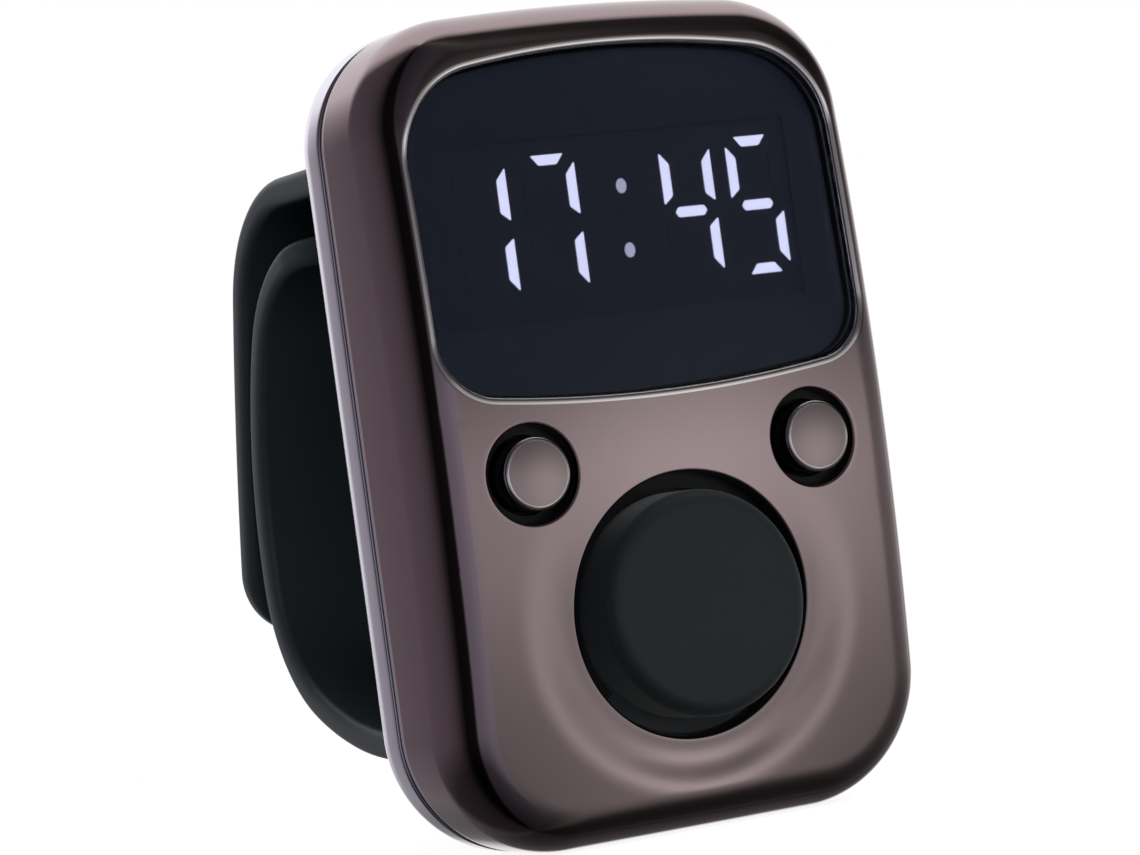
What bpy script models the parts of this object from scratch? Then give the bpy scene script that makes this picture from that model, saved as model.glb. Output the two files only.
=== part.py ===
"""Digital tally counter worn on a finger, modelled piece by piece.

Metres, +Z up. The counter stands on its flat bottom end, its display faces -Y and the
finger ring is behind it, on the +Y side. The origin is the middle of the bottom end.
Depths in the sizes and functions below count from the front face's foremost line, and
the finished pieces are set forward by half the casing's depth.
"""

from math import cos, pi, radians, sin

import bmesh
import bpy
import numpy as np

# Casing
BODY_WIDTH = 0.0286
BODY_SIDE_HEIGHT = 0.04365
TOP_BOW = 0.00025
BODY_DEPTH = 0.0118
BOTTOM_CORNER = 0.0069
TOP_CORNER = 0.0063
FRONT_FILLET_ACROSS = 0.0022
FRONT_FILLET_DEEP = 0.0030
REAR_FILLET = 0.0027
WALL = 0.0010
FACE_WALL = 0.0008
INNER_FILLET = 0.0006
REAR_DEPTH = 0.0043
CROWN_DEPTH = 0.00145
DISH_DEPTH = 0.0003
DISH_RADIUS = 0.0106
DISH_FLOOR_RADIUS = 0.0076

# Clearances
SEAT_GAP = 0.0003
RUN_GAP = 0.0002
PAD_GAP = 0.00015
OVERRUN = 0.0010

# Tongue of the rear casing inside the front casing
LIP_THICKNESS = 0.0006
LIP_REACH = 0.0009
LIP_ROOT = 0.0010

# Display window, which fills the face above the buttons
WINDOW_SIDE_MARGIN = 0.00175
WINDOW_TOP_MARGIN = 0.00294
WINDOW_ABOVE_RECESS = 0.00151
WINDOW_BOTTOM_CORNER = 0.0031
WINDOW_TOP_CORNER = 0.0049
WINDOW_BOW = 0.0006
LENS_THICKNESS = 0.0008
LENS_OVERLAP = 0.0004

# Display behind the window
DISPLAY_SIDE_MARGIN = 0.00175
DISPLAY_HEIGHT_SHARE = 0.6828
DISPLAY_MIDDLE_SHARE = 0.58525
DISPLAY_FRONT_Y = 0.00305
DISPLAY_WALL = 0.0006
DIGIT_SIDE_MARGIN = 0.0010
DIGIT_HALF_GAP = 0.00045
HALF_ROW_PITCHES = 2.5
DIGIT_HEIGHT_SHARE = 0.7245
SEGMENT_WIDTH = 0.00056
SEGMENT_BREAK = 0.0003
GUIDE_SLAB = 0.0006
GUIDE_GAP = 0.0001
COLON_SPREAD_SHARE = 0.479
COLON_RADIUS = 0.0004
COLON_SLAB_WIDTH = 0.0018

# Main button
MAIN_X = 0.0
MAIN_HEIGHT_SHARE = 0.27033
MAIN_RECESS_RADIUS = 0.0069
MAIN_CAP_RADIUS = 0.0059
MAIN_CAP_PROUD = 0.0020
MAIN_CAP_EDGE = 0.0006
MAIN_FLANGE = 0.0008
MAIN_STEM_RADIUS = 0.0016

# Side buttons
SIDE_EDGE = 0.0059
SIDE_ABOVE_MAIN = 0.00778
SIDE_RECESS_RADIUS = 0.00257
SIDE_CAP_RADIUS = 0.0019
SIDE_CAP_PROUD = 0.0005
SIDE_CAP_EDGE = 0.00035
SIDE_FLANGE = 0.0006
SIDE_STEM_RADIUS = 0.0009

# What every button has
BUTTON_TRAVEL = 0.0003
FLANGE_THICKNESS = 0.0004

# Black frame that guides the three buttons
FRAME_THICKNESS = 0.0006
FRAME_EDGE = 0.0021
FRAME_BELOW_RECESS = 0.0013
FRAME_ABOVE_RECESS = 0.00025
FRAME_CORNER = 0.0024

# Circuit board
BOARD_FRONT_Y = 0.0059
BOARD_THICKNESS = 0.0008
BOARD_WEB = 0.0002

# Tactile switches
SWITCH_HEIGHT = 0.0011
SWITCH_SPARE = 0.00015
MAIN_SWITCH_SIDE = 0.0045
MAIN_PLUNGER_RADIUS = 0.00095
SIDE_SWITCH_SIDE = 0.0034
SIDE_PLUNGER_RADIUS = 0.0007
PLUNGER_LENGTH = 0.0010

# Charging socket in the right-hand wall
SOCKET_LIFT_SHARE = 0.2177
SOCKET_WIDTH = 0.0089
SOCKET_HEIGHT = 0.0032
SOCKET_LENGTH = 0.0071
SOCKET_SHEET = 0.0003
SOCKET_SETBACK = 0.0005
TONGUE_WIDTH = 0.0067
TONGUE_THICKNESS = 0.0007
TONGUE_SETBACK = 0.0008

# Chips on the board's rear side
CONTROLLER_SIZE = (0.0050, 0.0012, 0.0044)
CONTROLLER_PLACE = (-0.0056, 0.0084)
CHARGER_SIZE = (0.0029, 0.0011, 0.0016)
CHARGER_PLACE = (0.0010, 0.0062)
CRYSTAL_SIZE = (0.0032, 0.0008, 0.0015)
CRYSTAL_PLACE = (0.0012, 0.0104)
CHIP_BEVEL = 0.00015

# Battery, its pad and its leads
CELL_WIDTH = 0.0190
CELL_BOTTOM = 0.0174
CELL_TOP_MARGIN = 0.00625
CELL_EDGE = 0.0008
PAD_MARGIN = 0.0025
PAD_THICKNESS = 0.0006
LEAD_RADIUS = 0.00035
LEAD_INNER_X = -0.0040
LEAD_PITCH = 0.0016
LEAD_DROP = 0.0034
LEAD_STRAIGHT = 0.0006

# Case screws
SCREW_EDGE = 0.0031
SCREW_HEAD_RADIUS = 0.0012
SCREW_HEAD_HEIGHT = 0.0007
SCREW_SHANK_RADIUS = 0.0007
SCREW_LENGTH = 0.0066
SCREW_SUNK = 0.0003
SCREW_SLOT_WIDTH = 0.00035
SCREW_SLOT_LENGTH = 0.0015
SCREW_SLOT_DEPTH = 0.0004
BOSS_WALL = 0.0006
UPPER_BOSS_FRONT_Y = 0.0044
WEB_RADIUS = 0.0010
WEB_EDGE = 0.0017

# Finger ring, whose height fits a finger; the shares of it draw its two bands
RING_HEIGHT = 0.0324
RING_DROP = 0.000325
RING_THICKNESS = 0.0016
RING_EDGE = 0.0004
RING_TIP_CORNER = 0.00375
RING_BASE_THICKNESS = 0.0014
RING_BASE_LIFT = 0.0003
RING_PAD_THICKNESS = 0.0004
RING_PAD_MARGIN = 0.0016
RING_UPPER_STRAIGHT_SHARE = 0.1814
RING_UPPER_BEND_RADIUS_SHARE = 0.2608
RING_UPPER_BEND_TURN = radians(72.6)
RING_UPPER_BACK_RADIUS_SHARE = 4.977
RING_UPPER_BACK_TURN = radians(7.02)
RING_LOWER_RISE_RADIUS_SHARE = 0.6916
RING_LOWER_RISE_TURN = radians(26.4)
RING_LOWER_BEND_RADIUS_SHARE = 0.2754
RING_LOWER_BEND_TURN = radians(61)
RING_LOWER_BACK_RADIUS_SHARE = 0.9026
RING_LOWER_BACK_TURN = radians(28)
RING_CURL_RADIUS_SHARE = 0.2743
RING_CURL_TURN = radians(72)

# Facets
CORNER_STEPS = 8
SIDE_STEPS = 7
END_STEPS = 6
FILLET_STEPS = 4
FACE_RINGS = 6
PLATE_RINGS = 4
ROUND_STEPS = 40
SMALL_ROUND_STEPS = 24
ARC_STEPS = 9
TIP_STEPS = 5
SMOOTH_ANGLE = radians(32)

# Places and sizes worked out from the sizes above
BODY_HEIGHT = BODY_SIDE_HEIGHT + TOP_BOW
MAIN_Z = BODY_SIDE_HEIGHT * MAIN_HEIGHT_SHARE
SIDE_X = BODY_WIDTH / 2 - SIDE_EDGE
SIDE_Z = MAIN_Z + SIDE_ABOVE_MAIN
WINDOW_WIDTH = BODY_WIDTH - 2 * WINDOW_SIDE_MARGIN
WINDOW_BOTTOM = SIDE_Z + SIDE_RECESS_RADIUS + WINDOW_ABOVE_RECESS
WINDOW_HEIGHT = BODY_SIDE_HEIGHT - WINDOW_TOP_MARGIN - WINDOW_BOTTOM
BOSS_HOLE_RADIUS = SCREW_SHANK_RADIUS + SEAT_GAP
BOSS_RADIUS = BOSS_HOLE_RADIUS + BOSS_WALL
LOWER_SCREW_Z = BOTTOM_CORNER - (BOTTOM_CORNER - SCREW_EDGE) * cos(pi / 4)
UPPER_SCREW_Z = BODY_SIDE_HEIGHT - TOP_CORNER + (TOP_CORNER - SCREW_EDGE) * cos(pi / 4)
DISPLAY_ROOM = UPPER_SCREW_Z - BOSS_RADIUS - WINDOW_BOTTOM
DISPLAY_WIDTH = WINDOW_WIDTH - 2 * DISPLAY_SIDE_MARGIN
DISPLAY_HEIGHT = DISPLAY_ROOM * DISPLAY_HEIGHT_SHARE
DISPLAY_MIDDLE_Z = WINDOW_BOTTOM + DISPLAY_ROOM * DISPLAY_MIDDLE_SHARE
DIGIT_PITCH = (DISPLAY_WIDTH / 2 - DIGIT_SIDE_MARGIN + DIGIT_HALF_GAP) / HALF_ROW_PITCHES
DIGIT_HALF_WIDTH = DIGIT_PITCH / 2 - DIGIT_HALF_GAP
DIGIT_HALF_HEIGHT = DISPLAY_HEIGHT / 2 * DIGIT_HEIGHT_SHARE
COLON_SPREAD = DIGIT_HALF_HEIGHT * COLON_SPREAD_SHARE
FRAME_HALF_WIDTH = BODY_WIDTH / 2 - FRAME_EDGE
FRAME_BOTTOM = MAIN_Z - MAIN_RECESS_RADIUS - FRAME_BELOW_RECESS
FRAME_TOP = SIDE_Z + SIDE_RECESS_RADIUS + FRAME_ABOVE_RECESS
SEAM_Y = BODY_DEPTH - REAR_DEPTH
REAR_SEAM_Y = SEAM_Y + SEAT_GAP
REAR_INNER_Y = BODY_DEPTH - WALL
BOARD_BACK_Y = BOARD_FRONT_Y + BOARD_THICKNESS
LIP_FRONT_Y = REAR_SEAM_Y - LIP_REACH
BOSS_END_Y = LIP_FRONT_Y - SEAT_GAP
POST_FRONT_Y = LIP_FRONT_Y + PAD_GAP
SCREW_TIP_Y = BODY_DEPTH - SCREW_SUNK - SCREW_LENGTH
LENS_FRONT_OFFSET = FACE_WALL + PAD_GAP
FRAME_OFFSET = FACE_WALL + SEAT_GAP
DISPLAY_BACK_Y = BOARD_FRONT_Y - SEAT_GAP
SWITCH_BACK_Y = BOARD_FRONT_Y - SEAT_GAP
SWITCH_FRONT_Y = SWITCH_BACK_Y - SWITCH_HEIGHT
PLUNGER_FRONT_Y = SWITCH_FRONT_Y - BUTTON_TRAVEL - SWITCH_SPARE
STEM_BACK_Y = PLUNGER_FRONT_Y - SEAT_GAP
SOCKET_MIDDLE_Y = (BOARD_FRONT_Y + BOARD_BACK_Y) / 2
SOCKET_FLOOR_Z = LOWER_SCREW_Z + BOSS_RADIUS + SEAT_GAP + BOARD_WEB + RUN_GAP
SOCKET_SPARE = SIDE_Z - SIDE_SWITCH_SIDE / 2 - SOCKET_WIDTH - SOCKET_FLOOR_Z
SOCKET_MIDDLE_Z = SOCKET_FLOOR_Z + SOCKET_WIDTH / 2 + SOCKET_SPARE * SOCKET_LIFT_SHARE
CELL_FRONT_Y = BOARD_BACK_Y + SEAT_GAP
CELL_BACK_Y = REAR_INNER_Y - SEAT_GAP - PAD_THICKNESS - SEAT_GAP
CELL_HEIGHT = BODY_SIDE_HEIGHT - CELL_TOP_MARGIN - CELL_BOTTOM
PAD_WIDTH = CELL_WIDTH - 2 * PAD_MARGIN
PAD_HEIGHT = CELL_HEIGHT - 2 * PAD_MARGIN
RING_HALF_WIDTH = BODY_WIDTH / 2 - REAR_FILLET
RING_TOP_Z = BODY_SIDE_HEIGHT / 2 - RING_DROP + RING_HEIGHT / 2
RING_LOWER_BOTTOM = RING_TOP_Z - RING_HEIGHT
RING_BASE_BOTTOM = RING_LOWER_BOTTOM + RING_BASE_LIFT
RING_PAD_FRONT_Y = BODY_DEPTH + PAD_GAP
RING_BASE_FRONT_Y = RING_PAD_FRONT_Y + RING_PAD_THICKNESS + PAD_GAP
RING_BASE_BACK_Y = RING_BASE_FRONT_Y + RING_BASE_THICKNESS
RING_ROOT_Y = RING_BASE_BACK_Y + SEAT_GAP
UPPER_HINGE = (0.0, (RING_BASE_BACK_Y + RING_ROOT_Y) / 2, RING_TOP_Z)
LOWER_HINGE = (0.0, (RING_BASE_BACK_Y + RING_ROOT_Y) / 2, RING_LOWER_BOTTOM)
ORIGIN_DEPTH = BODY_DEPTH / 2


def clear_scene():
    for old in list(bpy.data.objects):
        bpy.data.objects.remove(old, do_unlink=True)


def finish(name, colour, roughness, metallic):
    """A painted, plated or moulded surface as one Principled shader."""
    made = bpy.data.materials.new(name)
    made.use_nodes = True
    shader = made.node_tree.nodes["Principled BSDF"]
    shader.inputs["Base Color"].default_value = (*colour, 1.0)
    shader.inputs["Roughness"].default_value = roughness
    shader.inputs["Metallic"].default_value = metallic
    made.diffuse_color = (*colour, 1.0)
    return made


# Shapes


def solid(name, points, faces):
    """A closed mesh object with its faces turned outwards."""
    mesh = bpy.data.meshes.new(name)
    mesh.from_pydata([tuple(p) for p in points], [], faces)
    work = bmesh.new()
    work.from_mesh(mesh)
    bmesh.ops.recalc_face_normals(work, faces=work.faces)
    work.to_mesh(mesh)
    work.free()
    made = bpy.data.objects.new(name, mesh)
    bpy.context.scene.collection.objects.link(made)
    return made


def stacked(name, rings, poles=True):
    """A solid whose skin runs ring by ring; each end closes on its middle point or flat."""
    rings = np.asarray(rings)
    count, size = rings.shape[:2]
    points = list(rings.reshape(-1, 3))
    faces = []
    for k in range(count - 1):
        for i in range(size):
            j = (i + 1) % size
            faces.append((k * size + i, k * size + j, (k + 1) * size + j, (k + 1) * size + i))
    first = list(range(size))
    last = [(count - 1) * size + i for i in range(size)]
    if poles:
        for ring in (first, last):
            points.append(np.mean([points[i] for i in ring], axis=0))
            pole = len(points) - 1
            faces.extend((ring[i], ring[(i + 1) % size], pole) for i in range(size))
    else:
        faces.extend((tuple(first), tuple(last)))
    return solid(name, points, faces)


def turned(name, profile, x, z, steps=ROUND_STEPS):
    """A round piece about the Y direction through (x, z); profile is (radius, y) pairs."""
    angles = (np.arange(steps) + 0.5) * 2 * pi / steps
    rings = [
        np.stack([x + r * np.cos(angles), np.full(steps, y), z + r * np.sin(angles)], axis=1)
        for r, y in profile
    ]
    return stacked(name, rings, poles=False)


def block(name, low, high, bevel=0.0, segments=1):
    ends = list(zip(low, high))
    corners = [(x, y, z) for x in ends[0] for y in ends[1] for z in ends[2]]
    sides = [(0, 1, 3, 2), (4, 6, 7, 5), (0, 4, 5, 1), (2, 3, 7, 6), (0, 2, 6, 4), (1, 5, 7, 3)]
    made = solid(name, corners, sides)
    if bevel:
        work = bmesh.new()
        work.from_mesh(made.data)
        bmesh.ops.bevel(
            work, geom=work.edges[:], offset=bevel, segments=segments, affect="EDGES", profile=0.5
        )
        work.to_mesh(made.data)
        work.free()
    return made


def prism(name, outline, near, far, axis="Y"):
    """An outline carried straight from near to far: (x, z) pairs along Y, (y, z) pairs along X."""
    rings = []
    for depth in (near, far):
        if axis == "Y":
            rings.append([(a, depth, b) for a, b in outline])
        else:
            rings.append([(depth, a, b) for a, b in outline])
    return stacked(name, rings, poles=False)


def combined(target, others, operation):
    """The target with the other solids joined to it or cut out of it, as a plain mesh."""
    for other in others:
        step = target.modifiers.new(other.name, "BOOLEAN")
        step.operation = operation
        step.solver = "EXACT"
        step.object = other
    bpy.context.view_layer.update()
    graph = bpy.context.evaluated_depsgraph_get()
    mesh = bpy.data.meshes.new_from_object(target.evaluated_get(graph))
    target.modifiers.clear()
    target.data = mesh
    for other in others:
        bpy.data.objects.remove(other, do_unlink=True)
    return target


def piece(made, name, material, origin=(0.0, 0.0, 0.0)):
    """Names a finished solid, gives it its surface and its origin, and sets it on the part's origin."""
    made.name = name
    made.data.name = name
    made.data.materials.clear()
    made.data.materials.append(material)
    for polygon in made.data.polygons:
        polygon.material_index = 0
    for vertex in made.data.vertices:
        vertex.co = [vertex.co[i] - origin[i] for i in range(3)]
    made.location = (origin[0], origin[1] - ORIGIN_DEPTH, origin[2])
    made.data.shade_smooth()
    made.data.set_sharp_from_angle(angle=SMOOTH_ANGLE)
    return made


# Outlines


def rounded_outline(
    half_width, bottom, top, bottom_corner, top_corner, bottom_bow=0.0, top_bow=0.0, inset=0.0
):
    """A rectangle with round corners whose ends may bow outwards, drawn anticlockwise from the right.

    A bowed end is one wide arc that meets both corner arcs without a kink. For a half run c
    and a bow b it spans the angle t = 2 atan(b / c) each way, on a radius of corner + c / sin t.
    """
    points = []

    def side(x, start, stop):
        points.extend((x, start + (stop - start) * k / SIDE_STEPS) for k in range(1, SIDE_STEPS))

    def end(level, corner, bow, up):
        run = half_width - corner
        centre = level - up * corner
        share = 2 * np.arctan2(bow, run)
        corner_turns = np.linspace(0.0, pi / 2 - share, CORNER_STEPS + 1)
        radius = corner - inset
        for turn in corner_turns:
            points.append((up * (run + radius * cos(turn)), centre + up * radius * sin(turn)))
        steps = np.arange(1, END_STEPS) / END_STEPS
        if bow:
            wide = corner + run / sin(share)
            wide_centre = centre - up * (wide - corner) * cos(share)
            for step in steps:
                turn = pi / 2 - share + 2 * share * step
                x = up * (wide - inset) * cos(turn)
                points.append((x, wide_centre + up * (wide - inset) * sin(turn)))
        else:
            points.extend((up * run * (1 - 2 * step), level - up * inset) for step in steps)
        for turn in corner_turns[::-1]:
            points.append((-up * (run + radius * cos(turn)), centre + up * radius * sin(turn)))

    side(half_width - inset, bottom + bottom_corner, top - top_corner)
    end(top, top_corner, top_bow, 1)
    side(inset - half_width, top - top_corner, bottom + bottom_corner)
    end(bottom, bottom_corner, bottom_bow, -1)
    return np.array(points)


def body_outline(inset=0.0):
    return rounded_outline(
        BODY_WIDTH / 2, 0.0, BODY_SIDE_HEIGHT, BOTTOM_CORNER, TOP_CORNER, top_bow=TOP_BOW, inset=inset
    )


def window_outline(grow=0.0):
    return rounded_outline(
        WINDOW_WIDTH / 2,
        WINDOW_BOTTOM,
        WINDOW_BOTTOM + WINDOW_HEIGHT,
        WINDOW_BOTTOM_CORNER,
        WINDOW_TOP_CORNER,
        WINDOW_BOW,
        WINDOW_BOW,
        -grow,
    )


def frame_outline():
    return rounded_outline(
        FRAME_HALF_WIDTH, FRAME_BOTTOM, FRAME_TOP, BOTTOM_CORNER - FRAME_BOTTOM, FRAME_CORNER
    )


def face_y(x, z):
    """Depth of the front face: it falls back towards both ends and dishes round the main button."""
    middle = BODY_HEIGHT / 2
    crown = CROWN_DEPTH * ((z - middle) / middle) ** 2
    away = np.hypot(x - MAIN_X, z - MAIN_Z)
    share = np.clip((DISH_RADIUS - away) / (DISH_RADIUS - DISH_FLOOR_RADIUS), 0.0, 1.0)
    return crown + DISH_DEPTH * share * share * (3 - 2 * share)


def on_face(outline, offset):
    """The outline's points laid on the front face, offset backwards."""
    x, z = outline[:, 0], outline[:, 1]
    return np.stack([x, face_y(x, z) + offset, z], axis=1)


def at_depth(outline, y):
    return np.stack([outline[:, 0], np.full(len(outline), y), outline[:, 1]], axis=1)


def shrunk(outline, rings):
    """The outline drawn in towards its middle, smallest first and full size last."""
    middle = (outline.max(axis=0) + outline.min(axis=0)) / 2
    return [middle + (outline - middle) * (k + 1) / rings for k in range(rings)]


def crowned_plate(name, outline, offset, thickness):
    """A plate of even thickness that follows the front face behind it."""
    fronts = [on_face(loop, offset) for loop in shrunk(outline, PLATE_RINGS)]
    backs = [on_face(loop, offset + thickness) for loop in shrunk(outline, PLATE_RINGS)]
    return stacked(name, fronts + backs[::-1])


# Casing


def corner_places(edge):
    """Four places on the corners' diagonals, each that far in from the casing's round corner."""
    low = (BOTTOM_CORNER - edge) * cos(pi / 4)
    high = (TOP_CORNER - edge) * cos(pi / 4)
    low_x, low_z = BODY_WIDTH / 2 - BOTTOM_CORNER + low, BOTTOM_CORNER - low
    high_x, high_z = BODY_WIDTH / 2 - TOP_CORNER + high, BODY_SIDE_HEIGHT - TOP_CORNER + high
    return {
        "screw_lower_left": (-low_x, low_z),
        "screw_lower_right": (low_x, low_z),
        "screw_upper_left": (-high_x, high_z),
        "screw_upper_right": (high_x, high_z),
    }


def screw_places():
    return corner_places(SCREW_EDGE)


def button_places():
    return {"main": (MAIN_X, MAIN_Z), "left": (-SIDE_X, SIDE_Z), "right": (SIDE_X, SIDE_Z)}


def front_skin(inset, offset, across, deep):
    """Rings of one skin of the front casing, from the face's middle over its oval fillet to the seam."""
    rings = [on_face(loop, offset) for loop in shrunk(body_outline(inset + across), FACE_RINGS)]
    for k in range(1, FILLET_STEPS + 1):
        angle = pi / 2 * (1 - k / FILLET_STEPS)
        loop = body_outline(inset + across * (1 - cos(angle)))
        rings.append(on_face(loop, offset + deep * (1 - sin(angle))))
    rings.append(at_depth(body_outline(inset), SEAM_Y))
    return rings


def socket_cutter(name):
    """The charging socket's clear way through the right-hand wall and the board."""
    half_height = SOCKET_HEIGHT / 2 + RUN_GAP
    half_run = SOCKET_WIDTH / 2 + RUN_GAP - half_height
    return prism(
        name,
        stadium(SOCKET_MIDDLE_Y, SOCKET_MIDDLE_Z, half_height, half_run),
        BODY_WIDTH / 2 - SOCKET_SETBACK - SOCKET_LENGTH - SEAT_GAP,
        BODY_WIDTH / 2 + OVERRUN,
        axis="X",
    )


def stadium(y, z, half_height, half_run):
    """Outline in (y, z) of a slot with round ends, long in Z."""
    points = []
    for k in range(CORNER_STEPS + 1):
        angle = pi * k / CORNER_STEPS
        points.append((y + half_height * cos(angle), z + half_run + half_height * sin(angle)))
    for k in range(CORNER_STEPS + 1):
        angle = pi + pi * k / CORNER_STEPS
        points.append((y + half_height * cos(angle), z - half_run + half_height * sin(angle)))
    return points


def front_shell(material):
    outside = front_skin(0.0, 0.0, FRONT_FILLET_ACROSS, FRONT_FILLET_DEEP)
    inside = front_skin(WALL, FACE_WALL, INNER_FILLET, INNER_FILLET)
    shell = stacked("front_shell", outside + inside[::-1])
    bosses = []
    for name, (x, z) in screw_places().items():
        upper = z > BODY_HEIGHT / 2
        front = UPPER_BOSS_FRONT_Y if upper else float(face_y(x, z)) + FACE_WALL / 2
        profile = [(BOSS_RADIUS, front), (BOSS_RADIUS, BOSS_END_Y)]
        bosses.append(turned(name, profile, x, z, SMALL_ROUND_STEPS))
        if upper:
            web_x, web_z = corner_places(WEB_EDGE)[name]
            profile = [(WEB_RADIUS, front), (WEB_RADIUS, BOSS_END_Y)]
            bosses.append(turned(name + "_web", profile, web_x, web_z, SMALL_ROUND_STEPS))
    shell = combined(shell, bosses, "UNION")
    cuts = [prism("window_cut", window_outline(), -OVERRUN, DISPLAY_FRONT_Y)]
    reach = MAIN_RECESS_RADIUS / 2
    for name, (x, z) in button_places().items():
        radius = MAIN_RECESS_RADIUS if name == "main" else SIDE_RECESS_RADIUS
        steps = ROUND_STEPS if name == "main" else SMALL_ROUND_STEPS
        cuts.append(turned(name + "_cut", [(radius, -OVERRUN), (radius, reach)], x, z, steps))
    for name, (x, z) in screw_places().items():
        profile = [(BOSS_HOLE_RADIUS, SCREW_TIP_Y - SEAT_GAP), (BOSS_HOLE_RADIUS, BOSS_END_Y + OVERRUN)]
        cuts.append(turned(name + "_cut", profile, x, z, SMALL_ROUND_STEPS))
    cuts.append(socket_cutter("socket_cut"))
    shell = combined(shell, cuts, "DIFFERENCE")
    return piece(shell, "front_shell", material)


def rear_shell(material):
    lip_outer = WALL + SEAT_GAP
    lip_inner = lip_outer + LIP_THICKNESS
    inner_fillet = REAR_FILLET - WALL
    floor_loops = shrunk(body_outline(REAR_FILLET), PLATE_RINGS)
    rings = [at_depth(loop, BODY_DEPTH) for loop in floor_loops]
    for k in range(1, FILLET_STEPS + 1):
        angle = pi / 2 * (1 - k / FILLET_STEPS)
        loop = body_outline(REAR_FILLET * (1 - cos(angle)))
        rings.append(at_depth(loop, BODY_DEPTH - REAR_FILLET * (1 - sin(angle))))
    rings.append(at_depth(body_outline(), REAR_SEAM_Y))
    rings.append(at_depth(body_outline(lip_outer), REAR_SEAM_Y))
    rings.append(at_depth(body_outline(lip_outer), LIP_FRONT_Y))
    rings.append(at_depth(body_outline(lip_inner), LIP_FRONT_Y))
    rings.append(at_depth(body_outline(lip_inner), REAR_SEAM_Y + LIP_ROOT))
    for k in range(FILLET_STEPS, -1, -1):
        angle = pi / 2 * (1 - k / FILLET_STEPS)
        loop = body_outline(WALL + inner_fillet * (1 - cos(angle)))
        rings.append(at_depth(loop, REAR_INNER_Y - inner_fillet * (1 - sin(angle))))
    rings.extend(at_depth(loop, REAR_INNER_Y) for loop in floor_loops[-2::-1])
    shell = stacked("rear_shell", rings)
    posts = []
    cuts = []
    for name, (x, z) in screw_places().items():
        profile = [(BOSS_RADIUS, POST_FRONT_Y), (BOSS_RADIUS, BODY_DEPTH - WALL / 2)]
        posts.append(turned(name, profile, x, z, SMALL_ROUND_STEPS))
        head_room = SCREW_HEAD_RADIUS + SEAT_GAP
        floor = BODY_DEPTH - SCREW_SUNK - SCREW_HEAD_HEIGHT - SEAT_GAP
        profile = [
            (BOSS_HOLE_RADIUS, LIP_FRONT_Y - OVERRUN),
            (BOSS_HOLE_RADIUS, floor),
            (head_room, floor),
            (head_room, BODY_DEPTH + OVERRUN),
        ]
        cuts.append(turned(name + "_cut", profile, x, z, SMALL_ROUND_STEPS))
    shell = combined(shell, posts, "UNION")
    cuts.append(socket_cutter("socket_cut"))
    shell = combined(shell, cuts, "DIFFERENCE")
    return piece(shell, "rear_shell", material)


def case_screw(name, x, z, material):
    top = BODY_DEPTH - SCREW_SUNK
    under = top - SCREW_HEAD_HEIGHT
    profile = [
        (SCREW_SHANK_RADIUS / 2, SCREW_TIP_Y),
        (SCREW_SHANK_RADIUS, SCREW_TIP_Y + SCREW_SHANK_RADIUS),
        (SCREW_SHANK_RADIUS, under),
        (SCREW_HEAD_RADIUS, under),
        (SCREW_HEAD_RADIUS, top - SCREW_SLOT_DEPTH / 2),
        (SCREW_HEAD_RADIUS - SCREW_SLOT_DEPTH / 2, top),
    ]
    made = turned(name, profile, x, z, SMALL_ROUND_STEPS)
    half, long, deep = SCREW_SLOT_WIDTH / 2, SCREW_SLOT_LENGTH / 2, top - SCREW_SLOT_DEPTH
    slots = [
        block("slot_across", (x - long, deep, z - half), (x + long, top + OVERRUN, z + half)),
        block("slot_along", (x - half, deep, z - long), (x + half, top + OVERRUN, z + long)),
    ]
    made = combined(made, slots, "DIFFERENCE")
    return piece(made, name, material)


# Window and display


def display_window(material):
    outline = window_outline(LENS_OVERLAP)
    plate = crowned_plate("display_window", outline, LENS_FRONT_OFFSET, LENS_THICKNESS)
    return piece(plate, "display_window", material)


def segment_outline(x, z, length, width, upright):
    """One bar of a digit: a long hexagon with pointed ends."""
    half, arm = width / 2, length / 2
    lower = [(-arm, 0.0), (half - arm, -half), (arm - half, -half)]
    points = lower + [(-a, -b) for a, b in lower]
    if upright:
        points = [(b, a) for a, b in reversed(points)]
    return [(x + a, z + b) for a, b in points]


def digit_bars(x, grow=0.0):
    """Outlines of the seven bars of the digit at x."""
    across = 2 * DIGIT_HALF_WIDTH - SEGMENT_BREAK + 2 * grow
    upright = DIGIT_HALF_HEIGHT - SEGMENT_BREAK + 2 * grow
    width = SEGMENT_WIDTH + 2 * grow
    bars = []
    for row in (-1, 0, 1):
        z = DISPLAY_MIDDLE_Z + row * DIGIT_HALF_HEIGHT
        bars.append(segment_outline(x, z, across, width, False))
    for column in (-1, 1):
        for row in (-1, 1):
            z = DISPLAY_MIDDLE_Z + row * DIGIT_HALF_HEIGHT / 2
            bars.append(segment_outline(x + column * DIGIT_HALF_WIDTH, z, upright, width, True))
    return bars


def digit_slab_halves():
    margin = SEGMENT_WIDTH / 2 + GUIDE_GAP
    return DIGIT_HALF_WIDTH + margin, DIGIT_HALF_HEIGHT + margin


def digit_places():
    return {f"digit_{k + 1}_guide": side * DIGIT_PITCH for k, side in enumerate((-2, -1, 1, 2))}


def colon_dots():
    return [(0.0, DISPLAY_MIDDLE_Z - COLON_SPREAD), (0.0, DISPLAY_MIDDLE_Z + COLON_SPREAD)]


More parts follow.
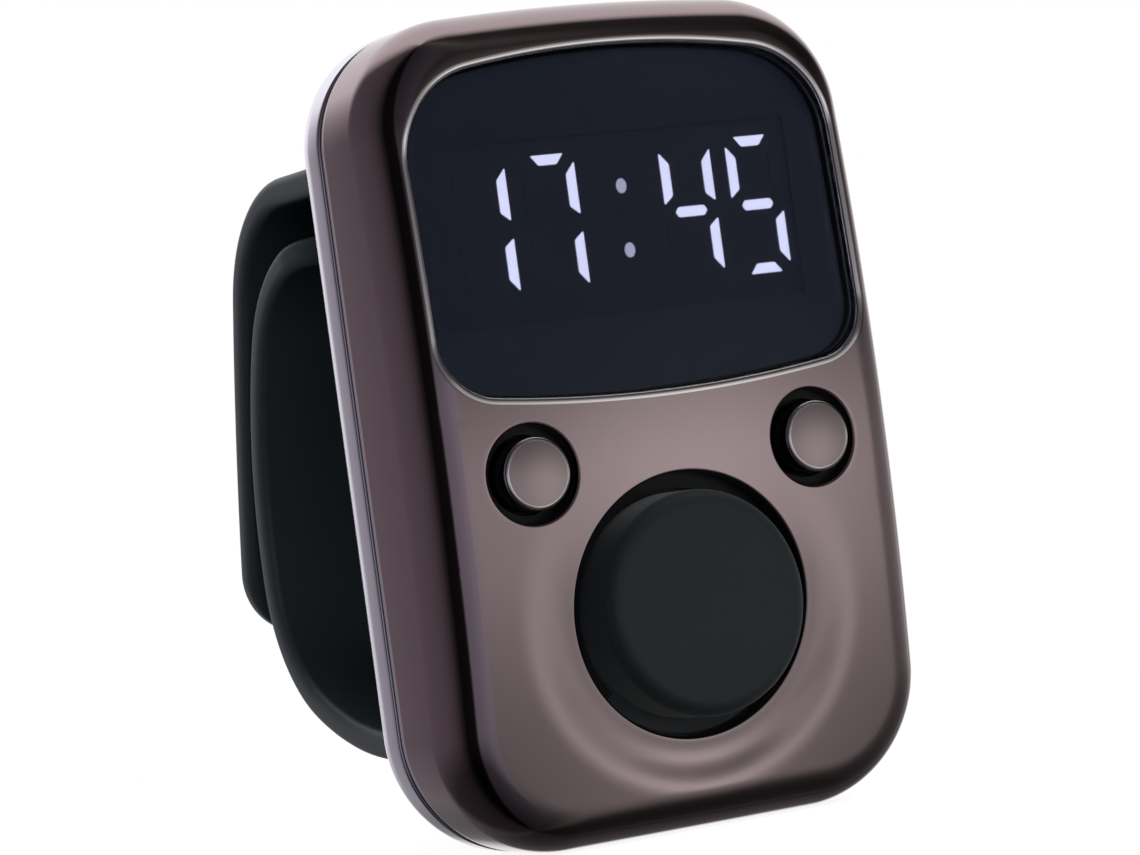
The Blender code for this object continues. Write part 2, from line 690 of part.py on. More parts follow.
def display_housing(material):
    half_width, half_height = DISPLAY_WIDTH / 2, DISPLAY_HEIGHT / 2
    housing = block(
        "display_housing",
        (-half_width, DISPLAY_FRONT_Y, DISPLAY_MIDDLE_Z - half_height),
        (half_width, DISPLAY_BACK_Y, DISPLAY_MIDDLE_Z + half_height),
    )
    pocket_y = DISPLAY_FRONT_Y + DISPLAY_WALL
    slab_x, slab_z = digit_slab_halves()
    cuts = []
    for name, x in digit_places().items():
        low = (x - slab_x - GUIDE_GAP, pocket_y, DISPLAY_MIDDLE_Z - slab_z - GUIDE_GAP)
        high = (x + slab_x + GUIDE_GAP, DISPLAY_BACK_Y + OVERRUN, DISPLAY_MIDDLE_Z + slab_z + GUIDE_GAP)
        cuts.append(block(name + "_pocket", low, high))
        for bar in digit_bars(x, GUIDE_GAP):
            cuts.append(prism(name + "_bar", bar, DISPLAY_FRONT_Y - OVERRUN, pocket_y + GUIDE_GAP))
    reach = COLON_SPREAD + COLON_RADIUS + 2 * GUIDE_GAP
    half = COLON_SLAB_WIDTH / 2 + GUIDE_GAP
    low = (-half, pocket_y, DISPLAY_MIDDLE_Z - reach)
    cuts.append(block("colon_pocket", low, (half, DISPLAY_BACK_Y + OVERRUN, DISPLAY_MIDDLE_Z + reach)))
    for x, z in colon_dots():
        radius = COLON_RADIUS + GUIDE_GAP
        profile = [(radius, DISPLAY_FRONT_Y - OVERRUN), (radius, pocket_y + GUIDE_GAP)]
        cuts.append(turned("colon_cut", profile, x, z, SMALL_ROUND_STEPS // 2))
    return piece(combined(housing, cuts, "DIFFERENCE"), "display_housing", material)


def digit_guide(name, x, material):
    """Clear light guide of one digit: a slab with seven raised bars."""
    slab_x, slab_z = digit_slab_halves()
    front = DISPLAY_FRONT_Y + DISPLAY_WALL + GUIDE_GAP
    slab = block(
        name,
        (x - slab_x, front, DISPLAY_MIDDLE_Z - slab_z),
        (x + slab_x, front + GUIDE_SLAB, DISPLAY_MIDDLE_Z + slab_z),
    )
    root = front + GUIDE_SLAB / 2
    bars = [prism(f"bar_{k}", bar, DISPLAY_FRONT_Y, root) for k, bar in enumerate(digit_bars(x))]
    return piece(combined(slab, bars, "UNION"), name, material)


def colon_guide(material):
    reach = COLON_SPREAD + COLON_RADIUS + GUIDE_GAP
    half = COLON_SLAB_WIDTH / 2
    front = DISPLAY_FRONT_Y + DISPLAY_WALL + GUIDE_GAP
    slab = block(
        "colon_guide",
        (-half, front, DISPLAY_MIDDLE_Z - reach),
        (half, front + GUIDE_SLAB, DISPLAY_MIDDLE_Z + reach),
    )
    dots = []
    for k, (x, z) in enumerate(colon_dots()):
        profile = [(COLON_RADIUS, DISPLAY_FRONT_Y), (COLON_RADIUS, front + GUIDE_SLAB / 2)]
        dots.append(turned(f"dot_{k}", profile, x, z, SMALL_ROUND_STEPS // 2))
    return piece(combined(slab, dots, "UNION"), "colon_guide", material)


# Buttons


def button_frame(material):
    """Black plate behind the front face that shows as the floor of the three recesses."""
    plate = crowned_plate("button_frame", frame_outline(), FRAME_OFFSET, FRAME_THICKNESS)
    cuts = []
    for name, (x, z) in button_places().items():
        radius = (MAIN_CAP_RADIUS if name == "main" else SIDE_CAP_RADIUS) + RUN_GAP
        steps = ROUND_STEPS if name == "main" else SMALL_ROUND_STEPS
        cuts.append(turned(name + "_cut", [(radius, 0.0), (radius, DISPLAY_BACK_Y)], x, z, steps))
    for name, (x, z) in screw_places().items():
        if z < FRAME_TOP:
            radius = BOSS_RADIUS + SEAT_GAP
            profile = [(radius, 0.0), (radius, DISPLAY_BACK_Y)]
            cuts.append(turned(name + "_cut", profile, x, z, SMALL_ROUND_STEPS))
    return piece(combined(plate, cuts, "DIFFERENCE"), "button_frame", material)


def frame_back(radius, z):
    """Deepest point of the button frame's rear side within a radius of a button's middle."""
    reach = np.linspace(-radius, radius, ROUND_STEPS + 1)
    return float(np.max(face_y(MAIN_X + 0 * reach, z + reach))) + FRAME_OFFSET + FRAME_THICKNESS


def button(name, x, z, radius, proud, edge, flange, stem_radius, steps, material):
    """A cap with a rounded rim, a flange behind the frame and a stem towards its switch."""
    front = float(face_y(x, z)) - DISH_DEPTH * (name == "main_button") - proud
    flange_radius = radius + flange
    flange_y = frame_back(flange_radius, z) + SEAT_GAP
    profile = [(radius - edge, front)]
    for k in range(1, FILLET_STEPS + 1):
        angle = pi / 2 * (1 - k / FILLET_STEPS)
        profile.append((radius - edge + edge * cos(angle), front + edge * (1 - sin(angle))))
    profile += [
        (radius, flange_y),
        (flange_radius, flange_y),
        (flange_radius, flange_y + FLANGE_THICKNESS),
        (stem_radius, flange_y + FLANGE_THICKNESS),
        (stem_radius, STEM_BACK_Y),
    ]
    return piece(turned(name, profile, x, z, steps), name, material, (x, 0.0, z))


def switch_body(name, x, z, side, plunger_radius, material):
    half = side / 2
    low = (x - half, SWITCH_FRONT_Y, z - half)
    body = block(name, low, (x + half, SWITCH_BACK_Y, z + half), CHIP_BEVEL)
    radius = plunger_radius + RUN_GAP
    profile = [(radius, SWITCH_FRONT_Y - OVERRUN), (radius, SWITCH_BACK_Y + OVERRUN)]
    well = turned("well", profile, x, z, SMALL_ROUND_STEPS)
    return piece(combined(body, [well], "DIFFERENCE"), name, material)


def switch_plunger(name, x, z, radius, material):
    profile = [
        (radius - CHIP_BEVEL, PLUNGER_FRONT_Y),
        (radius, PLUNGER_FRONT_Y + CHIP_BEVEL),
        (radius, PLUNGER_FRONT_Y + PLUNGER_LENGTH),
    ]
    return piece(turned(name, profile, x, z, SMALL_ROUND_STEPS), name, material, (x, 0.0, z))


# Board and what it carries


def circuit_board(material):
    inset = WALL + SEAT_GAP + LIP_THICKNESS + SEAT_GAP
    board = prism("circuit_board", body_outline(inset), BOARD_FRONT_Y, BOARD_BACK_Y)
    cuts = []
    for name, (x, z) in screw_places().items():
        radius = BOSS_RADIUS + SEAT_GAP
        profile = [(radius, BOARD_FRONT_Y - OVERRUN), (radius, BOARD_BACK_Y + OVERRUN)]
        cuts.append(turned(name, profile, x, z, SMALL_ROUND_STEPS))
    cuts.append(socket_cutter("socket_cut"))
    return piece(combined(board, cuts, "DIFFERENCE"), "circuit_board", material)


def charging_socket(material):
    """Drawn metal sleeve of the charging socket, closed at its inner end."""
    half_height = SOCKET_HEIGHT / 2
    half_run = SOCKET_WIDTH / 2 - half_height
    mouth = BODY_WIDTH / 2 - SOCKET_SETBACK
    back = mouth - SOCKET_LENGTH
    outside = stadium(SOCKET_MIDDLE_Y, SOCKET_MIDDLE_Z, half_height, half_run)
    sleeve = prism("charging_socket", outside, back, mouth, axis="X")
    bore = stadium(SOCKET_MIDDLE_Y, SOCKET_MIDDLE_Z, half_height - SOCKET_SHEET, half_run)
    cut = prism("bore", bore, back + SOCKET_SHEET, mouth + OVERRUN, axis="X")
    return piece(combined(sleeve, [cut], "DIFFERENCE"), "charging_socket", material)


def socket_tongue(material):
    mouth = BODY_WIDTH / 2 - SOCKET_SETBACK
    back = mouth - SOCKET_LENGTH + SOCKET_SHEET + SEAT_GAP
    half_y, half_z = TONGUE_THICKNESS / 2, TONGUE_WIDTH / 2
    tongue = block(
        "socket_tongue",
        (back, SOCKET_MIDDLE_Y - half_y, SOCKET_MIDDLE_Z - half_z),
        (mouth - TONGUE_SETBACK, SOCKET_MIDDLE_Y + half_y, SOCKET_MIDDLE_Z + half_z),
        CHIP_BEVEL,
    )
    return piece(tongue, "socket_tongue", material)


def chip(name, size, place, material):
    x, z = place
    front = BOARD_BACK_Y + PAD_GAP
    low = (x - size[0] / 2, front, z - size[2] / 2)
    high = (x + size[0] / 2, front + size[1], z + size[2] / 2)
    return piece(block(name, low, high, CHIP_BEVEL), name, material)


def battery(material):
    low = (-CELL_WIDTH / 2, CELL_FRONT_Y, CELL_BOTTOM)
    high = (CELL_WIDTH / 2, CELL_BACK_Y, CELL_BOTTOM + CELL_HEIGHT)
    return piece(block("battery", low, high, CELL_EDGE, 3), "battery", material)


def battery_pad(material):
    middle = CELL_BOTTOM + CELL_HEIGHT / 2
    low = (-PAD_WIDTH / 2, CELL_BACK_Y + SEAT_GAP, middle - PAD_HEIGHT / 2)
    high = (PAD_WIDTH / 2, REAR_INNER_Y - SEAT_GAP, middle + PAD_HEIGHT / 2)
    return piece(block("battery_pad", low, high), "battery_pad", material)


def battery_lead(name, x, material):
    """Insulated wire from the cell's lower end down and forwards to its pad on the board."""
    start = ((CELL_FRONT_Y + CELL_BACK_Y) / 2, CELL_BOTTOM - PAD_GAP)
    goal = (BOARD_BACK_Y + PAD_GAP, CELL_BOTTOM - LEAD_DROP)
    knee = (start[0], start[1] - (LEAD_DROP - LEAD_STRAIGHT))
    low_knee = (goal[0] + 2 * LEAD_STRAIGHT, goal[1])
    route = []
    for k in range(ARC_STEPS + 1):
        t = k / ARC_STEPS
        weights = ((1 - t) ** 3, 3 * t * (1 - t) ** 2, 3 * t * t * (1 - t), t**3)
        pairs = list(zip(weights, (start, knee, low_knee, goal)))
        route.append([sum(weight * point[i] for weight, point in pairs) for i in (0, 1)])
    curve = bpy.data.curves.new(name, "CURVE")
    curve.dimensions = "3D"
    curve.bevel_depth = LEAD_RADIUS
    curve.bevel_resolution = 2
    curve.use_fill_caps = True
    spline = curve.splines.new("POLY")
    spline.points.add(len(route) - 1)
    for point, (y, z) in zip(spline.points, route):
        point.co = (x, y, z, 1.0)
    made = bpy.data.objects.new(name, curve)
    made.location = (0.0, -ORIGIN_DEPTH, 0.0)
    bpy.context.scene.collection.objects.link(made)
    curve.materials.append(material)
    return made


# Finger ring


def strip(name, path, bend, material, hinge):
    """A band carried along its outer face's path in (y, z), its rims eased and its free corners round.

    bend is 1 where the band turns upwards, and -1 where it turns downwards.
    """
    path = np.array(path)
    steps = np.linalg.norm(np.diff(path, axis=0), axis=1)
    run = np.concatenate([[0.0], np.cumsum(steps)])
    heading = np.gradient(path, axis=0)
    heading /= np.linalg.norm(heading, axis=1)[:, None]
    inward = np.stack([-heading[:, 1], heading[:, 0]], axis=1) * bend
    rings = []
    for k, at in enumerate(run):
        past = min(1.0, max(0.0, at - (run[-1] - RING_TIP_CORNER)) / RING_TIP_CORNER)
        half = RING_HALF_WIDTH - RING_TIP_CORNER * (1 - (1 - past * past) ** 0.5)
        edge = RING_EDGE
        section = [
            (-half, edge),
            (-half + edge, 0.0),
            (half - edge, 0.0),
            (half, edge),
            (half, RING_THICKNESS - edge),
            (half - edge, RING_THICKNESS),
            (-half + edge, RING_THICKNESS),
            (-half, RING_THICKNESS - edge),
        ]
        rings.append([(x, *(path[k] + inward[k] * depth)) for x, depth in section])
    return piece(stacked(name, rings, poles=False), name, material, hinge)


def arc_chain(start, bend, stretches):
    """Points in (y, z) along arcs that follow on from each other, and set out level from the start.

    bend is 1 for arcs that turn upwards and -1 for arcs that turn downwards. Each stretch is a
    radius and the angle that it turns through.
    """
    points = [start]
    heading = 0.0
    for radius, turn in stretches:
        y, z = points[-1]
        centre = (y - bend * radius * sin(heading), z + bend * radius * cos(heading))
        for k in range(1, ARC_STEPS + 1):
            angle = heading + bend * turn * k / ARC_STEPS
            points.append((centre[0] + bend * radius * sin(angle), centre[1] - bend * radius * cos(angle)))
        heading += bend * turn
    return points


def eased_tip(path):
    """The path with close points over its last stretch, so that the band's corners come out round."""
    path = np.array(path)
    steps = np.linalg.norm(np.diff(path, axis=0), axis=1)
    run = np.concatenate([[0.0], np.cumsum(steps)])
    start = run[-1] - RING_TIP_CORNER
    early = [k for k in range(len(run)) if run[k] < start - RING_EDGE]
    late = [start + RING_TIP_CORNER * sin(pi / 2 * k / TIP_STEPS) for k in range(TIP_STEPS + 1)]
    wanted = [run[k] for k in early] + late
    return [(np.interp(at, run, path[:, 0]), np.interp(at, run, path[:, 1])) for at in wanted]


def upper_band_path():
    straight_end = (RING_ROOT_Y + RING_HEIGHT * RING_UPPER_STRAIGHT_SHARE, RING_TOP_Z)
    stretches = [
        (RING_HEIGHT * RING_UPPER_BEND_RADIUS_SHARE, RING_UPPER_BEND_TURN),
        (RING_HEIGHT * RING_UPPER_BACK_RADIUS_SHARE, RING_UPPER_BACK_TURN),
    ]
    return eased_tip([(RING_ROOT_Y, RING_TOP_Z)] + arc_chain(straight_end, -1, stretches))


def lower_band_path():
    stretches = [
        (RING_HEIGHT * RING_LOWER_RISE_RADIUS_SHARE, RING_LOWER_RISE_TURN),
        (RING_HEIGHT * RING_LOWER_BEND_RADIUS_SHARE, RING_LOWER_BEND_TURN),
        (RING_HEIGHT * RING_LOWER_BACK_RADIUS_SHARE, RING_LOWER_BACK_TURN),
        (RING_HEIGHT * RING_CURL_RADIUS_SHARE, RING_CURL_TURN),
    ]
    return eased_tip(arc_chain((RING_ROOT_Y, RING_LOWER_BOTTOM), 1, stretches))


def ring_base(material):
    low = (-RING_HALF_WIDTH, RING_BASE_FRONT_Y, RING_BASE_BOTTOM)
    high = (RING_HALF_WIDTH, RING_BASE_BACK_Y, RING_TOP_Z)
    return piece(block("ring_base", low, high, RING_EDGE), "ring_base", material)


def ring_pad(material):
    half = RING_HALF_WIDTH - RING_PAD_MARGIN
    low = (-half, RING_PAD_FRONT_Y, RING_BASE_BOTTOM + RING_PAD_MARGIN)
    high = (half, RING_PAD_FRONT_Y + RING_PAD_THICKNESS, RING_TOP_Z - RING_PAD_MARGIN)
    return piece(block("ring_pad", low, high), "ring_pad", material)


def build():
    clear_scene()
    plated = finish("plated_casing", (0.25, 0.19, 0.20), 0.22, 1.0)
    plated_rear = finish("plated_rear_casing", (0.30, 0.27, 0.31), 0.24, 1.0)
    plated_cap = finish("plated_button", (0.30, 0.24, 0.25), 0.22, 1.0)
    smoked = finish("smoked_acrylic", (0.010, 0.012, 0.020), 0.06, 0.0)
    black = finish("black_plastic", (0.008, 0.009, 0.010), 0.45, 0.0)
    cap_black = finish("soft_black_cap", (0.012, 0.015, 0.016), 0.55, 0.0)
    rubber = finish("black_silicone", (0.008, 0.010, 0.012), 0.50, 0.0)
    light = finish("milky_light_guide", (0.72, 0.72, 0.85), 0.30, 0.0)
    board = finish("board_laminate", (0.02, 0.10, 0.05), 0.40, 0.0)
    steel = finish("nickel_plated_steel", (0.55, 0.55, 0.56), 0.30, 1.0)
    switch_black = finish("switch_plastic", (0.03, 0.03, 0.03), 0.50, 0.0)
    chip_black = finish("chip_epoxy", (0.02, 0.02, 0.02), 0.55, 0.0)
    foil = finish("cell_foil", (0.60, 0.60, 0.62), 0.35, 1.0)
    foam = finish("white_foam_tape", (0.75, 0.75, 0.72), 0.90, 0.0)
    red = finish("red_wire", (0.45, 0.02, 0.02), 0.45, 0.0)
    wire_black = finish("black_wire", (0.02, 0.02, 0.02), 0.45, 0.0)

    front_shell(plated)
    rear_shell(plated_rear)
    for name, (x, z) in screw_places().items():
        case_screw("case_" + name, x, z, steel)
    display_window(smoked)
    display_housing(black)
    for name, x in digit_places().items():
        digit_guide(name, x, light)
    colon_guide(light)
    button_frame(black)
    button(
        "main_button", MAIN_X, MAIN_Z, MAIN_CAP_RADIUS, MAIN_CAP_PROUD, MAIN_CAP_EDGE,
        MAIN_FLANGE, MAIN_STEM_RADIUS, ROUND_STEPS, cap_black,
    )
    switch_body("main_switch", MAIN_X, MAIN_Z, MAIN_SWITCH_SIDE, MAIN_PLUNGER_RADIUS, switch_black)
    switch_plunger("main_switch_plunger", MAIN_X, MAIN_Z, MAIN_PLUNGER_RADIUS, switch_black)
    for side, x in (("left", -SIDE_X), ("right", SIDE_X)):
        button(
            side + "_button", x, SIDE_Z, SIDE_CAP_RADIUS, SIDE_CAP_PROUD, SIDE_CAP_EDGE,
            SIDE_FLANGE, SIDE_STEM_RADIUS, SMALL_ROUND_STEPS, plated_cap,
        )
        switch_body(side + "_switch", x, SIDE_Z, SIDE_SWITCH_SIDE, SIDE_PLUNGER_RADIUS, switch_black)
        switch_plunger(side + "_switch_plunger", x, SIDE_Z, SIDE_PLUNGER_RADIUS, switch_black)
    circuit_board(board)
    charging_socket(steel)
    socket_tongue(black)
    chip("controller_chip", CONTROLLER_SIZE, CONTROLLER_PLACE, chip_black)
    chip("charger_chip", CHARGER_SIZE, CHARGER_PLACE, chip_black)
    chip("crystal", CRYSTAL_SIZE, CRYSTAL_PLACE, steel)
    battery(foil)
    battery_pad(foam)
    battery_lead("battery_lead_red", LEAD_INNER_X - LEAD_PITCH, red)
    battery_lead("battery_lead_black", LEAD_INNER_X, wire_black)
    ring_pad(foam)
    ring_base(rubber)
    strip("ring_upper_band", upper_band_path(), -1, rubber, UPPER_HINGE)
    strip("ring_lower_band", lower_band_path(), 1, rubber, LOWER_HINGE)


build()
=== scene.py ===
"""Finger tally counter: the fine surfaces and finishes over its frame.

Metres, +Z up. The counter stands on its flat bottom end, its display faces -Y and the silicone
finger ring is behind it. Depths in the functions count backwards from the face's foremost line.
"""

from math import cos, pi, radians, sin

import bmesh
import bpy
import numpy as np
from mathutils import Matrix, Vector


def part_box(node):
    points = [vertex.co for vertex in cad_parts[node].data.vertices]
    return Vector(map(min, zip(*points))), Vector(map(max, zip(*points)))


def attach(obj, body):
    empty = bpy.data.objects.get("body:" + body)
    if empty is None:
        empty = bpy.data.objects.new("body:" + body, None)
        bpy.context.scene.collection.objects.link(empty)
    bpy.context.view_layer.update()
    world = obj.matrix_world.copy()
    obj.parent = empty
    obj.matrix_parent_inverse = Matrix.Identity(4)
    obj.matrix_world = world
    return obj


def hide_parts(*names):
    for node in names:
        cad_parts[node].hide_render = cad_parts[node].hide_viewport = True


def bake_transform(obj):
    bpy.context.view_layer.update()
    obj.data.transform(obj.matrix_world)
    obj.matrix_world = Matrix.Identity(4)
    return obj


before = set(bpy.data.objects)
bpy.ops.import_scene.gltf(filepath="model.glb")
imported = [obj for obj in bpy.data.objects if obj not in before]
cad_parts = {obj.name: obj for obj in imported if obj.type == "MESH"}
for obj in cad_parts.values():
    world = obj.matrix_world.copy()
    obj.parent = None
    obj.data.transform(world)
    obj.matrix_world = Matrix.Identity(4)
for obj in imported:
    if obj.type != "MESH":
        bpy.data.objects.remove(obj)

bl_info = {
    "name": "Finger tally counter",
    "version": (1, 0, 0),
    "blender": (4, 5, 0),
    "location": "3D View > Sidebar > Counter",
    "description": "Builds the surfaces, finishes and studio of a finger tally counter",
    "category": "Object",
}


def middle_of(low, high):
    """The middle of a box."""
    return [(a + b) / 2 for a, b in zip(low, high)]


# Places that come from the frame
SHELL_LOW, SHELL_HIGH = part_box("front_shell")
REAR_LOW, REAR_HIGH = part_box("rear_shell")
MAIN_LOW, MAIN_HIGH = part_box("main_button")
LEFT_LOW, LEFT_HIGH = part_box("left_button")
RIGHT_LOW, RIGHT_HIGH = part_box("right_button")
HOUSING_LOW, HOUSING_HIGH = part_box("display_housing")
BASE_LOW, BASE_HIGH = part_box("ring_base")
SOCKET_LOW, SOCKET_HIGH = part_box("charging_socket")
FRONT_Y = SHELL_LOW[1]
HALF_WIDTH = SHELL_HIGH[0]
HEIGHT = SHELL_HIGH[2]
MAIN_X, _, MAIN_Z = middle_of(MAIN_LOW, MAIN_HIGH)
LEFT_X, _, SIDE_Z = middle_of(LEFT_LOW, LEFT_HIGH)
RIGHT_X = middle_of(RIGHT_LOW, RIGHT_HIGH)[0]
DISPLAY_Z = middle_of(HOUSING_LOW, HOUSING_HIGH)[2]
_, SOCKET_Y, SOCKET_Z = middle_of(SOCKET_LOW, SOCKET_HIGH)

TOUCH = 1e-6  # metres; points closer than this are one
SHARP = radians(35)  # edges that turn by more than this stay sharp


def linear(text):
    """An sRGB hex colour as linear red, green, blue and full alpha."""
    parts = [int(text[k : k + 2], 16) / 255 for k in (1, 3, 5)]
    return tuple(c / 12.92 if c <= 0.04045 else ((c + 0.055) / 1.055) ** 2.4 for c in parts) + (1.0,)


def length(name, what, default):
    """A length in metres."""
    return bpy.props.FloatProperty(
        name=name, description=what, default=default, min=0.0, precision=5, subtype="DISTANCE",
        unit="LENGTH",
    )


def colour(name, what, default):
    """A colour, its default given as an sRGB hex text."""
    return bpy.props.FloatVectorProperty(
        name=name, description=what, default=linear(default), min=0.0, max=1.0, size=4,
        subtype="COLOR",
    )


class CounterCasing(bpy.types.PropertyGroup):
    bow: length("Top bow", "How far the top end bows upwards", 0.00025)
    bottom_corner: length("Bottom corner", "Radius of the casing's lower corners", 0.0069)
    top_corner: length("Top corner", "Radius of the casing's upper corners", 0.0063)
    fillet_across: length("Fillet across", "Width of the front fillet seen from the front", 0.0022)
    fillet_deep: length("Fillet deep", "Depth of the front fillet", 0.0030)
    crown: length("Crown", "How far the face falls back at both ends", 0.00145)
    side_crown: length("Side crown", "How far the face falls back at both sides", 0.00038)
    dish: length("Dish", "Depth of the dish below the main button", 0.00038)
    dish_radius: length("Dish radius", "Where the dish begins", 0.0105)
    dish_floor: length("Dish floor radius", "Where the dish reaches its depth", 0.0071)
    face_wall: length("Face wall", "Thickness of the front face", 0.0008)
    wall: length("Side wall", "Thickness of the side walls", 0.0010)
    rim: length("Rim radius", "Rounding of the window's rim", 0.00020)
    lip: length("Lip", "Width of the bright line round the window", 0.00016)
    recess_rim: length("Recess rim radius", "Rounding of the button recesses", 0.00014)
    seam_edge: length("Seam edge", "Rounding of the edges at the seam", 0.00012)
    seam_end: length("Seam", "Depth of the front casing's end", 0.00750)
    seam_step: length("Seam step", "Play between the casings behind the front wall", 0.00004)
    rear_start: length("Rear start", "Depth of the rear casing's front end", 0.00796)
    groove: length("Groove", "Depth of the groove at the seam", 0.00050)
    bead: length("Bead", "Half the width of the bead in the groove", 0.00013)
    bead_rise: length("Bead rise", "How far the bead stands out of the groove", 0.00048)
    rear_fillet: length("Rear fillet", "Radius of the rear fillet", 0.0027)
    colour: colour("Casing colour", "Dark plating of the front casing", "#a59395")
    rear_colour: colour("Rear colour", "Bright plating of the rear casing", "#ece9f2")


class CounterDisplay(bpy.types.PropertyGroup):
    side_margin: length("Side margin", "From the casing's side to the window", 0.00175)
    bottom: length("Window bottom", "Height of the window's lower side", 0.02366)
    height: length("Window height", "Height of the window at its sides", 0.01705)
    bottom_corner: length("Lower corner", "Radius of the window's lower corners", 0.0031)
    top_corner: length("Upper corner", "Radius of the window's upper corners", 0.0049)
    bow: length("Window bow", "How far the window's ends bow", 0.0006)
    setback: length("Setback", "Depth of the window behind the face", 0.00055)
    thickness: length("Thickness", "Thickness of the window", 0.0008)
    digit_pitch: length("Digit pitch", "Distance from digit to digit", 0.0041)
    digit_shift: length("Digit shift", "How far the digits stand right of the middle", 0.00030)
    digit_lift: length("Digit lift", "How far the digits stand above the display's middle", 0.00020)
    half_width: length("Digit half width", "From a digit's middle to its upright bars", 0.00128)
    half_height: length("Digit half height", "From a digit's middle to its end bars", 0.00342)
    bar: length("Bar width", "Width of a bar", 0.00054)
    end_gap: length("End gap", "From an upright bar's outer end to the end bars' middle", 0.00022)
    waist_gap: length("Waist gap", "From an upright bar's inner end to the digit's middle", 0.00046)
    end_bar: length("End bar", "Length of an end bar's long side", 0.00192)
    mask_corner: length("Mask corner", "Corner radius of the display's black body", 0.0006)
    dot: length("Dot radius", "Half the width of the colon's dots", 0.00030)
    dot_shift: length("Dot shift", "How far the dots stand right of the middle", 0.00038)
    dot_spread: length("Dot spread", "From the display's middle to each dot", 0.00170)
    glow: colour("Glow", "Colour of the lit bars", "#dcdcf7")
    film: colour("Film", "Colour of the film behind the window", "#040509")
    # Painted light: an even navy glow on film, display body and unlit bars, standing in for shade
    painted_glow: colour("Haze", "Glow of the display's black body beside its lit bars", "#272e3d")
    tint: colour("Window tint", "Colour of the smoked window", "#a3a6ad")


class CounterButtons(bpy.types.PropertyGroup):
    main_recess: length("Main recess", "Radius of the main button's recess", 0.0069)
    main_cap: length("Main cap", "Radius of the main cap", 0.0059)
    main_edge: length("Main edge", "Rounding of the main cap's edge", 0.0009)
    main_crown: length("Main crown", "Crown of the main cap", 0.00025)
    side_recess: length("Side recess", "Radius of a small button's recess", 0.00257)
    side_cap: length("Side cap", "Radius of a small cap", 0.0019)
    side_edge: length("Side edge", "Rounding of a small cap's edge", 0.00022)
    side_crown: length("Side crown", "Crown of a small cap", 0.00006)
    cap_colour: colour("Cap colour", "Soft coating of the main cap", "#212729")
    side_colour: colour("Small cap colour", "Plating of the small caps", "#a89899")


class CounterRing(bpy.types.PropertyGroup):
    thickness: length("Thickness", "Thickness of the bands", 0.0016)
    edge: length("Edge", "Rounding of the bands' rims", 0.00055)
    tip_corner: length("Tip corner", "Radius of the free corners", 0.00375)
    root_bend: length("Root bend", "Outer radius where a band leaves the base", 0.0019)
    colour: colour("Silicone colour", "Colour of the silicone", "#2a3134")


class CounterStudio(bpy.types.PropertyGroup):
    lens: bpy.props.FloatProperty(
        name="Lens", description="Focal length on a 36 mm sensor", default=126.3, unit="CAMERA"
    )
    camera_place: bpy.props.FloatVectorProperty(
        name="Camera", description="Place of the camera", default=(-0.102285, -0.186481, 0.019007),
        subtype="TRANSLATION", unit="LENGTH",
    )
    camera_turn: bpy.props.FloatVectorProperty(
        name="Camera turn", description="Heading, rise and roll of the camera",
        default=(radians(28.06), radians(0.752), radians(7.815)), subtype="EULER", unit="ROTATION",
    )
    floor_colour: colour("Floor", "Colour of the floor", "#8c8c8e")


# Materials and lights are made of nodes, with these settings for those that mix or fade

MIXED = {"data_type": "RGBA"}
MULTIPLIED = {"data_type": "RGBA", "blend_type": "MULTIPLY"}
ADDED = {"data_type": "RGBA", "blend_type": "ADD"}
LIGHTENED = {"data_type": "RGBA", "blend_type": "LIGHTEN"}
FADED = {"interpolation_type": "SMOOTHSTEP"}


def add(tree, kind, attributes=None, **inputs):
    """Adds a node; an input is given by its name, or by _ and its number, as a value or a socket."""
    made = tree.nodes.new("ShaderNode" + kind)
    for name, value in (attributes or {}).items():
        setattr(made, name, value)
    for name, value in inputs.items():
        key = int(name[1:]) if name.startswith("_") else name.replace("_", " ")
        socket = made.inputs[key]
        if isinstance(value, bpy.types.NodeSocket):
            tree.links.new(value, socket)
        else:
            socket.default_value = value
    return made


def surface(
    name, base, other, roughness, spread, grain, bump=0.0, metallic=0.0, patch=0.004, **inputs
):
    """One finish: two close colours in soft patches, a fine grain in the gloss, and a small bump.

    base is an sRGB hex text or a linear colour, other a hex text or a factor that shades base.
    roughness varies by spread with a grain of that many metres, bump is the grain's height,
    patch is the size of the colour patches, and inputs are values for the shader's sockets.
    """
    base = linear(base) if isinstance(base, str) else tuple(base)
    other = linear(other) if isinstance(other, str) else shade(base, other)
    made = bpy.data.materials.new(name)
    made.use_nodes = True
    tree = made.node_tree
    tree.nodes.clear()
    place = add(tree, "TexCoord").outputs["Object"]
    patches = add(tree, "TexNoise", Vector=place, Scale=1.0 / patch, Detail=2.0).outputs["Fac"]
    tint = add(tree, "Mix", MIXED, _0=patches, _6=base, _7=other).outputs[2]
    noise = add(tree, "TexNoise", Vector=place, Scale=1.0 / grain, Detail=3.0, Roughness=0.6)
    fine = noise.outputs["Fac"]
    rough = add(
        tree, "MapRange", Value=fine, To_Min=max(0.0, roughness - spread), To_Max=roughness + spread
    )
    shader = add(
        tree, "BsdfPrincipled", Base_Color=tint, Roughness=rough.outputs["Result"],
        Metallic=metallic, **inputs,
    )
    if bump:
        raised = add(tree, "Bump", Height=fine, Distance=bump, Strength=1.0)
        tree.links.new(raised.outputs["Normal"], shader.inputs["Normal"])
    add(tree, "OutputMaterial", Surface=shader.outputs["BSDF"])
    return made, tree, shader


def shade(value, factor):
    """A linear colour made darker or lighter."""
    return tuple(min(1.0, c * factor) for c in value[:3]) + (1.0,)


# Mesh helpers


